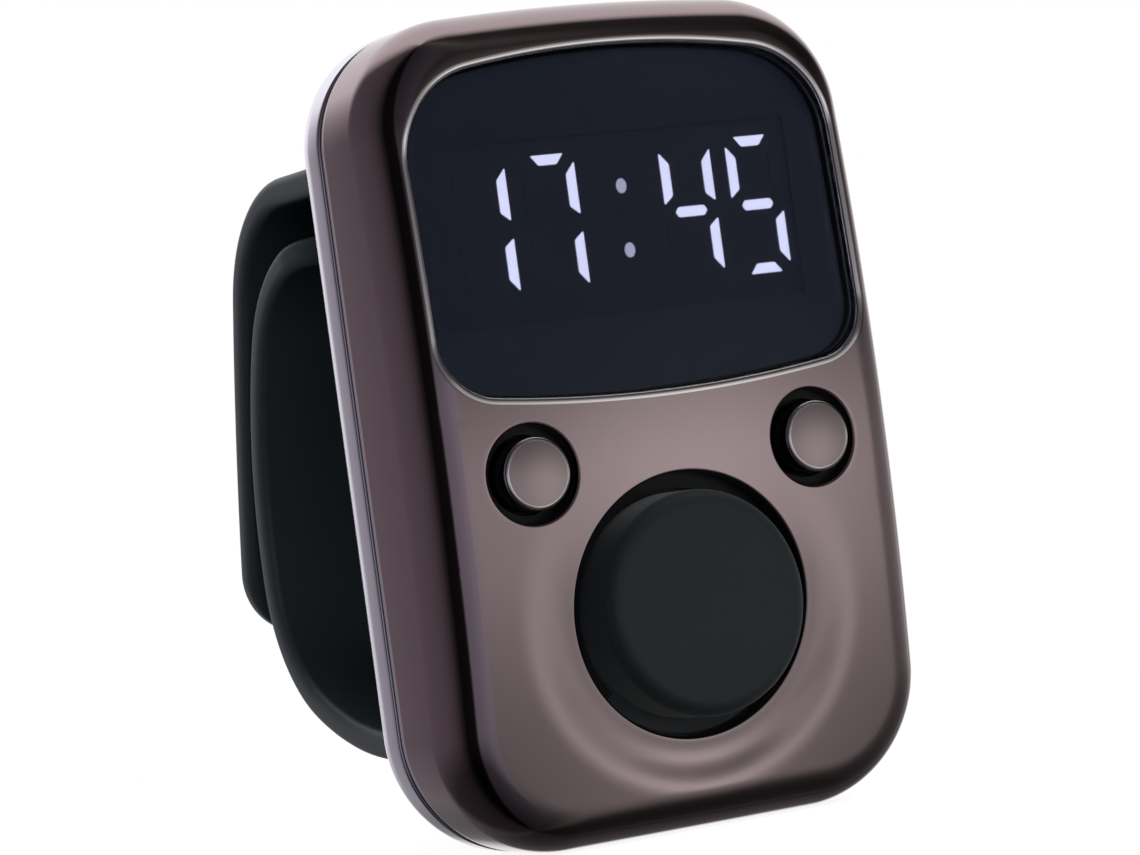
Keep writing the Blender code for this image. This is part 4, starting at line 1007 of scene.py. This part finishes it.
# A bar's dimmer patches: their share of its light, and their size
DIM_SHARE = 0.86
CLOUD_SIZE = 0.0022


class COUNTER_OT_display(bpy.types.Operator):
    """Builds the window, its film, the display's body and bars, and finishes the button frame"""

    bl_idname = "counter.display"
    bl_label = "Window and display"

    def execute(self, context):
        casing, display = context.scene.counter_casing, context.scene.counter_display
        place_piece(
            "window", lens_mesh(casing, display), [window_material(display)], "root",
            ["display_window"],
        )
        ink = film_material("screen_printed_film", display, 0.0005, FILM_PAINTED_GLOW)
        film, border = film_meshes(casing, display)
        place_piece("window_film", film, [ink], "root")
        # The same screen printing in plain black: the eye sees a dead black line round the window.
        black_ink = surface(
            "screen_printed_black", "#020203", "#030304", roughness=0.7, spread=0.05, grain=0.0005
        )[0]
        place_piece("window_border", border, [black_ink], "root")
        # The display's black body takes the film's painted glow too.
        place_piece("display_mask", mask_mesh(display), [ink], "root", ["display_housing"])
        lit = lit_material("lit_diffuser", display, LIT_STRENGTH)
        dark = film_material("unlit_diffuser", display, 0.0004, UNLIT_PAINTED_GLOW)
        for k, side in enumerate((-2, -1, 1, 2)):
            name = f"digit_{k + 1}"
            bars = digit_bars(side * display.digit_pitch + display.digit_shift, display)
            shapes = [rounded_bar(bar, display.bar * BAR_ROUNDING) for bar in bars]
            lit_now = [mark == "1" for mark in LIT_BARS[name]]
            guide_piece(name + "_bars", shapes, lit_now, [lit, dark], name + "_guide")
        dots = lit_material("lit_dot_diffuser", display, DOT_STRENGTH)
        turn = np.arange(DOT_STEPS) * 2 * pi / DOT_STEPS
        ring = display.dot * np.stack([np.cos(turn), np.sin(turn) * DOT_STRETCH], axis=1)
        middle = DISPLAY_Z + display.digit_lift
        shapes = [ring + [display.dot_shift, middle + side * display.dot_spread] for side in (-1, 1)]
        guide_piece("colon_dots", shapes, [True, True], [dots, dark], "colon_guide")
        # Moulded black ABS: the eye sees a dull black.
        black = surface(
            "moulded_black_abs", "#0c0d0f", "#0f1012", roughness=0.5, spread=0.06, grain=0.0003,
            bump=0.000004,
        )[0]
        finish_nodes(["button_frame"], black)
        return {"FINISHED"}


# Buttons


def cap_profile(radius, edge, crown, front, back, rows=12):
    """A cap's profile: a parabola crown, a quarter-round edge and a straight side, front to back."""
    flat = radius - edge
    profile = [(r, front + crown * (r / flat) ** 2) for r in np.linspace(0, flat, rows)]
    profile += [
        (flat + edge * sin(a), front + crown + edge * (1 - cos(a))) for a in np.linspace(0, pi / 2, 12)[1:]
    ]
    return profile + [(radius, back)]


FLANGE_BEHIND = 0.0020
FLANGE_THICKNESS = 0.0004
STEM_SHARE = 0.4
MAIN_STEPS = 160
SIDE_STEPS = 96


def button_mesh(name, x, z, radius, edge, crown, low, high, steps):
    """The visible cap, its flange behind the button frame, and its stem."""
    front, back = low[1], high[1]
    flange = (high[0] - low[0]) / 2
    flange_y = FRONT_Y + FLANGE_BEHIND
    profile = cap_profile(radius, edge, crown, front, flange_y)
    flange_back = flange_y + FLANGE_THICKNESS
    stem = radius * STEM_SHARE
    profile += [(flange, flange_y), (flange, flange_back), (stem, flange_back), (stem, back)]
    profile += [(0.0, back)]
    return turned(name, profile, x, z, steps)


# Behind this depth a small cap is painted black as shade
SHADE_PAINT_DEPTH = 0.0011


def mark_rim(mesh, x, buttons):
    """Gives a cap's round edge its second material, a painted highlight; its foot the third, painted shade.
    """
    middles = np.zeros(len(mesh.polygons) * 3, np.float32)
    mesh.polygons.foreach_get("center", middles)
    middles = middles.reshape(-1, 3)
    away = np.hypot(middles[:, 0] - x, middles[:, 2] - SIDE_Z)
    near = middles[:, 1] < middles[:, 1].min() + buttons.side_edge + buttons.side_crown
    rim = near & (away > buttons.side_cap - buttons.side_edge)
    shaded_foot = middles[:, 1] > FRONT_Y + SHADE_PAINT_DEPTH
    mesh.polygons.foreach_set("material_index", (rim + 2 * shaded_foot).astype(np.int32))


class COUNTER_OT_buttons(bpy.types.Operator):
    """Builds the three caps"""

    bl_idname = "counter.buttons"
    bl_label = "Buttons"

    def execute(self, context):
        buttons = context.scene.counter_buttons
        # Soft-touch lacquer on ABS: the eye sees a velvety black that greys where light grazes it.
        soft = surface(
            "soft_touch_lacquer", buttons.cap_colour, 0.9, roughness=0.48, spread=0.05, grain=0.00012,
            bump=0.000003, patch=0.003, Sheen_Weight=0.15, Sheen_Roughness=0.4,
        )[0]
        mesh = button_mesh(
            "main_cap", MAIN_X, MAIN_Z, buttons.main_cap, buttons.main_edge, buttons.main_crown,
            MAIN_LOW, MAIN_HIGH, MAIN_STEPS,
        )
        place_piece("main_cap", mesh, [soft], "main_key", ["main_button"])
        # Electroplated ABS, a shade lighter than the casing: a small mirror, its rim a painted highlight.
        plated = surface(
            "small_cap_plating", buttons.side_colour, 0.94, roughness=0.20, spread=0.02, grain=0.0006,
            metallic=1.0,
        )[0]
        # Painted shade: a dull black in place of the plating on the cap's foot: the eye sees only the dark.
        foot = surface(
            "painted_shade_black_abs", "#08080a", "#0b0b0d", roughness=0.6, spread=0.05, grain=0.0003
        )[0]
        materials = [plated, highlight_plating("painted_highlight_cap_rim"), foot]
        sides = (("left", LEFT_X, LEFT_LOW, LEFT_HIGH), ("right", RIGHT_X, RIGHT_LOW, RIGHT_HIGH))
        for name, x, low, high in sides:
            mesh = button_mesh(
                name + "_cap", x, SIDE_Z, buttons.side_cap, buttons.side_edge, buttons.side_crown,
                low, high, SIDE_STEPS,
            )
            mark_rim(mesh, x, buttons)
            place_piece(
                name + "_cap", mesh, materials, name + "_key", [name + "_button"]
            )
        return {"FINISHED"}


# Finger ring


def arc_chain(start, heading, bend, stretches):
    """Points in (y, z) along arcs that follow on from each other, half a millimetre apart.

    A stretch is a radius and the angle it turns through; no radius means a straight of that length.
    The arc's point at heading h is its centre plus bend times radius times (sin h, -cos h).
    """
    points = [np.array([start])]
    for radius, turn in stretches:
        y, z = points[-1][-1]
        if radius is None:
            share = np.linspace(0, 1, max(2, int(turn / RING_SPACING)) + 1)[1:, None]
            points.append(np.array([[y, z]]) + share * turn * np.array([[cos(heading), sin(heading)]]))
            continue
        count = max(3, int(radius * turn / RING_SPACING))
        angle = heading + bend * turn * np.arange(1, count + 1) / count
        centre = np.array([[y - bend * radius * sin(heading), z + bend * radius * cos(heading)]])
        points.append(centre + bend * radius * np.stack([np.sin(angle), -np.cos(angle)], axis=1))
        heading += bend * turn
    return np.concatenate(points)


def resampled(path, ring):
    """The path read again, close at its free end so that the round corners come out smooth."""
    steps = np.linalg.norm(np.diff(path, axis=0), axis=1)
    run = np.concatenate([[0.0], np.cumsum(steps)])
    total = run[-1]
    corner, edge = ring.tip_corner, ring.edge
    plain = run[run < total - corner]
    middle = total - corner + (corner - edge) * np.sin(np.linspace(0, pi / 2, 20))
    tip = total - edge + edge * np.sin(np.linspace(0, pi / 2, 9)[1:])
    runs = np.concatenate([plain, middle, tip])
    return np.stack([np.interp(runs, run, path[:, k]) for k in (0, 1)], axis=1), runs, total


def band_mesh(name, path, ring, turn):
    """A band: a rounded rectangle carried along the path of its outer face.

    The half width keeps a quarter circle at the free end, and the last stretch draws in by the
    rim's rounding on every side.
    """
    points, runs, total = resampled(path, ring)
    heading = np.gradient(points, axis=0)
    heading /= np.linalg.norm(heading, axis=1)[:, None]
    inward = np.stack([-heading[:, 1], heading[:, 0]], axis=1) * turn
    past = np.clip((runs - (total - ring.tip_corner)) / ring.tip_corner, 0, 1)
    end = np.clip((runs - (total - ring.edge)) / ring.edge, 0, 1)
    draw = ring.edge * (1 - np.sqrt(1 - end**2))
    round_tip = 1 - np.sqrt(np.clip(1 - (past * TIP_ROUND) ** 2, 0, 1))
    width = BASE_HIGH[0] - ring.tip_corner * round_tip - draw
    swell = np.clip(runs / SWELL_RUN, 0, 1)
    thick = RING_BASE_THICKNESS + (ring.thickness - RING_BASE_THICKNESS) * swell
    edge = np.minimum(ring.edge, thick / 2 - draw - TOUCH)
    side, depth = section(width[:, None], edge[:, None], thick[:, None], draw[:, None])
    place = points[:, None, :] + inward[:, None, :] * depth[..., None]
    return capped(name, np.stack([side, place[..., 0], place[..., 1]], axis=-1))


def section(width, edge, thick, draw):
    """A rounded rectangle's (side, depth) points, with its depths drawn in by draw on both faces."""
    angle = np.linspace(0, pi / 2, 7)
    top = (width - edge) * np.linspace(-1, 1, 12)[1:-1]
    side = width - edge + edge * np.sin(angle)
    near = draw + edge * (1 - np.cos(angle))
    far = (thick - draw) - edge * (1 - np.cos(angle))[::-1]
    flat_near, flat_far = draw + 0 * top, (thick - draw) + 0 * top
    return (
        np.concatenate([top, side, side[:, ::-1], -top, -side, -side[:, ::-1]], axis=1),
        np.concatenate([flat_near, near, far, flat_far, far[:, ::-1], near[:, ::-1]], axis=1),
    )


RING_BASE_THICKNESS = BASE_HIGH[1] - BASE_LOW[1]
RING_SPACING = 0.0005
SWELL_RUN = 0.006
TIP_ROUND = 0.985
ROOT_GAP = 0.0003
BASE_LIFT = 0.0003
BASE_SPLIT_LOW = 0.0120
BASE_SPLIT_HIGH = 0.0310
# Arcs of the two flaps as read from the photo: radius and turn
OUTER_STRAIGHT = 0.005877
OUTER_ARCS = ((0.008450, radians(72.6)), (0.161255, radians(7.02)))
INNER_ARCS = (
    (0.022408, radians(26.4)), (0.008923, radians(61)), (0.029244, radians(28)), (0.008887, radians(72)),
)


def upper_path(ring):
    """Up the base, round its top corner, back, down in a tight bend and on down, nearly straight."""
    straight = BASE_HIGH[1] + ROOT_GAP + OUTER_STRAIGHT - BASE_LOW[1] - ring.root_bend
    up = BASE_HIGH[2] - ring.root_bend - BASE_SPLIT_HIGH
    stretches = [(None, up), (ring.root_bend, pi / 2), (None, straight), *OUTER_ARCS]
    return arc_chain((BASE_LOW[1], BASE_SPLIT_HIGH), pi / 2, -1, stretches)


def lower_path():
    """Down the base, round its low corner, back with a slow rise, up, and over in a curl."""
    bend = BASE_HIGH[1] + ROOT_GAP - BASE_LOW[1]
    down = BASE_SPLIT_LOW - (BASE_LOW[2] - BASE_LIFT) - bend
    stretches = [(None, down), (bend, pi / 2), *INNER_ARCS]
    return arc_chain((BASE_LOW[1], BASE_SPLIT_LOW), -pi / 2, 1, stretches)


def base_mesh(ring):
    """The middle of the base plate: the bands' section carried straight up."""
    thick = RING_BASE_THICKNESS
    z = np.linspace(BASE_SPLIT_LOW, BASE_SPLIT_HIGH, 12)[:, None]
    edge = min(ring.edge, thick / 2 - TOUCH)
    side, depth = section(BASE_HIGH[0] + 0 * z, edge + 0 * z, thick + 0 * z, 0 * z)
    return capped("ring_base_plate", np.stack([side, BASE_LOW[1] + depth, z + 0 * side], axis=-1))


class COUNTER_OT_ring(bpy.types.Operator):
    """Builds the silicone finger ring"""

    bl_idname = "counter.ring"
    bl_label = "Finger ring"

    def execute(self, context):
        ring = context.scene.counter_ring
        # Moulded silicone rubber: the eye sees a matt black with soft grey rims.
        rubber = surface(
            "moulded_silicone", ring.colour, 0.85, roughness=0.42, spread=0.06, grain=0.00018,
            bump=0.000004, patch=0.005,
        )[0]
        flaps = (
            ("ring_outer_flap", upper_path(ring), -1, "ring_upper_band", "upper_flap", BASE_HIGH[2]),
            ("ring_inner_flap", lower_path(), 1, "ring_lower_band", "lower_flap", BASE_LOW[2]),
        )
        for name, path, turn, node, body, level in flaps:
            mesh = band_mesh(name, path, ring, turn)
            flap = place_piece(name, mesh, [rubber], None, [node])
            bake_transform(flap)
        place_piece("ring_plate", base_mesh(ring), [rubber], "root", ["ring_base"])
        return {"FINISHED"}


# Inner pieces: CAD nodes with their own finishes


INNER_FINISHES = {
    # name: nodes, colours, roughness, grain, bump, metallic
    # Solder mask printed over copper: the eye sees a half-gloss green, faintly dimpled.
    "green_solder_mask": (["circuit_board"], "#0f4a2c", "#0c4026", 0.35, 0.0006, 0.000004, 0.0),
    # Turned steel, zinc-plated: a bright grey, a little dulled.
    "zinc_plated_steel": (SCREWS, "#b9babd", "#a9aaae", 0.30, 0.0003, 0.000002, 1.0),
    # Stamped steel, nickel-plated: a smooth, warm grey.
    "stamped_nickel_steel": (["charging_socket", "crystal"], "#c3c3c6", "#b2b2b6", 0.28, 0.0004, 0.0, 1.0),
    # Moulded liquid crystal polymer: a satin black with a fine grain.
    "black_liquid_crystal_polymer": (
        ["socket_tongue", "main_switch", "left_switch", "right_switch", "main_switch_plunger",
         "left_switch_plunger", "right_switch_plunger"],
        "#141414", "#1b1b1b", 0.45, 0.0003, 0.000003, 0.0,
    ),
    # Moulded epoxy: a dull, dark grey.
    "moulded_epoxy": (["controller_chip", "charger_chip"], "#1d1d1e", "#242425", 0.55, 0.0002, 0.000003, 0.0),
    # Pressed aluminium pouch foil: a soft silver with shallow dents.
    "aluminium_pouch_foil": (["battery"], "#c9c9cc", "#b9b9bd", 0.32, 0.0008, 0.00001, 1.0),
    # Foam tape, die-cut: a dead matt white with open pores.
    "white_foam_tape": (["battery_pad", "ring_pad"], "#deded8", "#cfcfc8", 0.9, 0.0002, 0.00003, 0.0),
    # Extruded PVC, red and black: a smooth, waxy wire.
    "red_pvc": (["battery_lead_red"], "#b01c1c", "#a01616", 0.4, 0.0004, 0.0, 0.0),
    "black_pvc": (["battery_lead_black"], "#1a1a1a", "#141414", 0.4, 0.0004, 0.0, 0.0),
}


def finish_nodes(nodes, material):
    """Gives the frame's own solids a material."""
    for node in nodes:
        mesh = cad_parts[node].data
        mesh.materials.clear()
        mesh.materials.append(material)


class COUNTER_OT_inside(bpy.types.Operator):
    """Gives the board, battery, socket, switches and screws their finishes"""

    bl_idname = "counter.inside"
    bl_label = "Inner pieces"

    def execute(self, context):
        for name, (nodes, one, two, rough, grain, bump, metal) in INNER_FINISHES.items():
            made = surface(name, one, two, rough, 0.06, grain, bump, metal, patch=0.002)[0]
            finish_nodes(nodes, made)
        return {"FINISHED"}


# Studio


# The studio's panels. Each has its light by heading, in degrees from +Y towards +X, and the share
# of that light by the sine of the elevation.
FRONT_PANEL = (
    ((-180, 0.0), (62, 0.0), (68, 0.50), (84, 0.36), (96, 0.32), (108, 0.28), (130, 0.28),
     (138, 0.38), (144, 0.66), (148, 0.95), (152, 0.92), (157, 0.56), (166, 0.24), (172, 0.0), (180, 0.0)),
    ((-1.0, 0.04), (-0.80, 0.10), (-0.60, 0.18), (-0.42, 0.28), (-0.30, 0.37), (-0.22, 0.50),
     (-0.16, 0.68), (-0.10, 0.92), (-0.02, 1.0), (0.03, 0.72), (0.09, 0.34), (0.15, 0.19), (0.24, 0.15),
     (0.40, 0.06), (1.0, 0.16)),
)
PLUM_PANEL = (
    ((-180, 0.42), (-168, 0.36), (-154, 0.32), (-142, 0.30), (-137, 0.0), (158, 0.0), (166, 0.28),
     (172, 0.42), (180, 0.42)),
    ((-1.0, 0.06), (-0.50, 0.22), (-0.35, 0.55), (-0.20, 0.85), (-0.05, 1.0), (0.05, 0.95),
     (0.12, 0.55), (0.20, 0.35), (0.40, 0.20), (1.0, 0.12)),
)
SIDE_PANEL = (
    ((-180, 0.0), (-142, 0.0), (-137, 0.012), (-112, 0.008), (-104, 0.035), (-94, 0.09), (-84, 0.13),
     (-72, 0.16), (-56, 0.18), (-40, 0.19), (-24, 0.20), (-12, 0.22), (4, 0.0), (180, 0.0)),
    ((-1.0, 0.15), (-0.55, 0.25), (-0.38, 0.55), (-0.20, 0.92), (0.0, 1.0), (0.12, 0.90),
     (0.30, 0.80), (0.60, 0.70), (1.0, 0.6)),
)
BACK_PANEL = (
    ((-180, 0.0), (-26, 0.0), (-19, 0.36), (-11, 0.85), (0, 1.0), (52, 1.0), (62, 0.60), (74, 0.0),
     (180, 0.0)),
    ((-1.0, 0.03), (-0.50, 0.12), (-0.30, 0.32), (-0.10, 0.55), (0.0, 0.68), (0.08, 0.80),
     (0.20, 0.95), (0.40, 1.0), (1.0, 1.0)),
)
SIDE_TINT = (1.0, 0.90, 1.04)
PLUM_TINT = (0.92, 0.92, 1.12)
PLAIN_TINT = (1.0, 1.0, 1.0)
BACK_TINT = (1.0, 1.0, 1.03)
# White patches behind the object: direction, and the cosines where each begins and is full
BACK_LOBES = (((0.47, 0.88, 0.02), 0.86, 0.95), ((0.35, 0.55, 0.76), 0.70, 0.90))


def light_ramp(tree, value, stops, low, high, tint=PLAIN_TINT):
    """A colour ramp over low to high; the light between two stops changes evenly."""
    share = add(tree, "MapRange", Value=value, From_Min=low, From_Max=high).outputs["Result"]
    ramp = add(tree, "ValToRGB", Fac=share)
    elements = ramp.color_ramp.elements
    while len(elements) < len(stops):
        elements.new(0.5)
    for element, (place, light) in zip(elements, stops):
        element.position = (place - low) / (high - low)
        element.color = tuple(light * part for part in tint) + (1.0,)
    return ramp.outputs["Color"]


def seen_directly(tree):
    """1 for the camera's rays and those that pass through the window, else 0."""
    rays = add(tree, "LightPath").outputs
    return add(
        tree, "Math", {"operation": "MAXIMUM"}, _0=rays["Is Camera Ray"], _1=rays["Is Transmission Ray"]
    ).outputs["Value"]


def studio_world():
    """White to the camera. Else panels of soft light round the object and a bright back."""
    world = bpy.data.worlds.new("studio")
    bpy.context.scene.world = world
    world.use_nodes = True
    tree = world.node_tree
    tree.nodes.clear()
    way = add(tree, "TexCoord").outputs["Generated"]
    axes = add(tree, "SeparateXYZ", Vector=way).outputs
    heading = add(tree, "Math", {"operation": "ARCTAN2"}, _0=axes["X"], _1=axes["Y"]).outputs["Value"]
    degrees = add(tree, "Math", {"operation": "DEGREES"}, _0=heading).outputs["Value"]
    total = BLACK
    panels = (
        (FRONT_PANEL, PLAIN_TINT), (PLUM_PANEL, PLUM_TINT), (SIDE_PANEL, SIDE_TINT),
        (BACK_PANEL, BACK_TINT),
    )
    for (wall_stops, rise_stops), tint in panels:
        wall = light_ramp(tree, degrees, wall_stops, -180, 180, tint)
        rise = light_ramp(tree, axes["Z"], rise_stops, -1.0, 1.0)
        panel = add(tree, "Mix", MULTIPLIED, _0=1.0, _6=wall, _7=rise).outputs[2]
        total = add(tree, "Mix", ADDED, _0=1.0, _6=total, _7=panel).outputs[2]
    for aim, start, full in BACK_LOBES:
        dot = add(tree, "VectorMath", {"operation": "DOT_PRODUCT"}, _0=way, _1=aim).outputs["Value"]
        lobe = add(tree, "MapRange", FADED, Value=dot, From_Min=start, From_Max=full).outputs["Result"]
        total = add(tree, "Mix", LIGHTENED, _0=1.0, _6=total, _7=lobe).outputs[2]
    light = add(tree, "Background", Color=total, Strength=1.0).outputs["Background"]
    white = add(tree, "Background", Color=WHITE, Strength=1.0).outputs["Background"]
    mixed = add(tree, "MixShader", _0=seen_directly(tree), _1=light, _2=white)
    add(tree, "OutputWorld", Surface=mixed.outputs["Shader"])


def stand(data, place, side, up, forward):
    """An object for the lamp or camera data, at a place, with its own three directions."""
    made = loose(data.name, data)
    made.matrix_world = Matrix(
        [[side[k], up[k], -forward[k], place[k]] for k in range(3)] + [[0, 0, 0, 1]]
    )
    return made


def soft_box(name, place, size, power):
    """A square lamp that faces the object and shows in no mirror."""
    light = bpy.data.lights.new(name, "AREA")
    light.shape = "RECTANGLE"
    light.size = light.size_y = size
    light.energy = power
    way = np.array(LAMP_TARGET) - np.array(place)
    forward = way / np.linalg.norm(way)
    side = np.cross(forward, (0.0, 0.0, 1.0))
    side /= np.linalg.norm(side)
    lamp = stand(light, place, side, np.cross(side, forward), forward)
    lamp.visible_glossy = False


def studio_camera(studio):
    """Stands where the photograph was taken from: heading, then rise, then roll."""
    heading, rise, roll = studio.camera_turn
    forward = np.array([sin(heading) * cos(rise), cos(heading) * cos(rise), sin(rise)])
    level = np.array([cos(heading), -sin(heading), 0.0])
    over = np.cross(level, forward)
    right = cos(roll) * level - sin(roll) * over
    up = np.cross(right, forward)
    data = bpy.data.cameras.new("camera")
    data.lens = studio.lens
    data.sensor_width = 36.0
    data.clip_start, data.clip_end = 0.01, 10.0
    bpy.context.scene.camera = stand(data, studio.camera_place, right, up, forward)


FLOOR_RADII = (0.0, 0.02, 0.05, 0.1, 0.5)
FLOOR_STEPS = 96
# How far from the middle the floor begins to fade, and where it is gone
FLOOR_FADE = (0.045, 0.100)
FLOOR_GLOW = 0.90
WHITE = (1.0, 1.0, 1.0, 1.0)
BLACK = (0.0, 0.0, 0.0, 1.0)
LAMP_TARGET = (0.0, 0.0, 0.02)
# name: place, size and power
LAMPS = {
    "key_box": ((0.24, -0.24, 0.26), 0.20, 0.9),
    "ring_box": ((-0.30, 0.16, 0.10), 0.16, 0.75),
    "fill_box": ((-0.16, -0.27, 0.09), 0.16, 0.32),
}


def floor_material(studio):
    # Matt card: the eye sees plain white with the object's soft shadow, and no far edge.
    made, tree, shader = surface(
        "matt_card", studio.floor_colour, 0.98, roughness=0.8, spread=0.05, grain=0.002, patch=0.05,
        Emission_Color=WHITE, Specular_IOR_Level=0.0,
    )
    glow = add(tree, "Math", {"operation": "MULTIPLY"}, _0=seen_directly(tree), _1=FLOOR_GLOW)
    tree.links.new(glow.outputs["Value"], shader.inputs["Emission Strength"])
    place = add(tree, "TexCoord").outputs["Object"]
    away = add(tree, "VectorMath", {"operation": "LENGTH"}, _0=place).outputs["Value"]
    start, gone = FLOOR_FADE
    fade = add(tree, "MapRange", FADED, Value=away, From_Min=start, From_Max=gone).outputs["Result"]
    clear = add(tree, "BsdfTransparent").outputs["BSDF"]
    mixed = add(tree, "MixShader", _0=fade, _1=shader.outputs["BSDF"], _2=clear)
    output = next(node for node in tree.nodes if node.type == "OUTPUT_MATERIAL")
    tree.links.new(mixed.outputs["Shader"], output.inputs["Surface"])
    return made


def floor(studio):
    """A round card under the object, which fades into the white round it."""
    turn = np.arange(FLOOR_STEPS) * 2 * pi / FLOOR_STEPS
    radius = np.array(FLOOR_RADII)[:, None]
    level = 0 * radius - 2 * TOUCH + 0 * turn
    grid = np.stack([radius * np.cos(turn), radius * np.sin(turn), level], axis=-1)
    mesh = weld("floor", [grid])
    if mesh.polygons[0].normal.z < 0:
        mesh.flip_normals()
    mesh.materials.append(floor_material(studio))
    card = loose("floor", mesh)
    card.visible_glossy = False


class COUNTER_OT_studio(bpy.types.Operator):
    """Sets the floor, the lamps, the world and the camera"""

    bl_idname = "counter.studio"
    bl_label = "Studio"

    def execute(self, context):
        studio = context.scene.counter_studio
        context.scene.view_settings.view_transform = "Standard"
        studio_world()
        floor(studio)
        for name, (place, size, power) in LAMPS.items():
            soft_box(name, place, size, power)
        studio_camera(studio)
        return {"FINISHED"}


class COUNTER_PT_panel(bpy.types.Panel):
    """Lists the counter's sizes, colours and building steps"""

    bl_idname = "COUNTER_PT_panel"
    bl_label = "Finger tally counter"
    bl_space_type = "VIEW_3D"
    bl_region_type = "UI"
    bl_category = "Counter"

    def draw(self, context):
        for step in STEPS:
            self.layout.operator(step.bl_idname)
        for name, group in GROUPS.items():
            box = self.layout.box()
            box.label(text=group.__name__)
            for key in group.__annotations__:
                box.prop(getattr(context.scene, name), key)


GROUPS = {
    "counter_casing": CounterCasing,
    "counter_display": CounterDisplay,
    "counter_buttons": CounterButtons,
    "counter_ring": CounterRing,
    "counter_studio": CounterStudio,
}
STEPS = (
    COUNTER_OT_casing, COUNTER_OT_display, COUNTER_OT_buttons, COUNTER_OT_ring, COUNTER_OT_inside,
    COUNTER_OT_studio,
)


def register():
    for group in GROUPS.values():
        bpy.utils.register_class(group)
    for step in STEPS:
        bpy.utils.register_class(step)
    bpy.utils.register_class(COUNTER_PT_panel)
    for name, group in GROUPS.items():
        setattr(bpy.types.Scene, name, bpy.props.PointerProperty(type=group))


def unregister():
    for name in GROUPS:
        delattr(bpy.types.Scene, name)
    bpy.utils.unregister_class(COUNTER_PT_panel)
    for step in reversed(STEPS):
        bpy.utils.unregister_class(step)
    for group in reversed(GROUPS.values()):
        bpy.utils.unregister_class(group)


def main():
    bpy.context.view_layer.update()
    register()
    bpy.ops.counter.casing()
    bpy.ops.counter.display()
    bpy.ops.counter.buttons()
    bpy.ops.counter.ring()
    bpy.ops.counter.inside()
    bpy.ops.counter.studio()


if __name__ == "__main__":
    main()
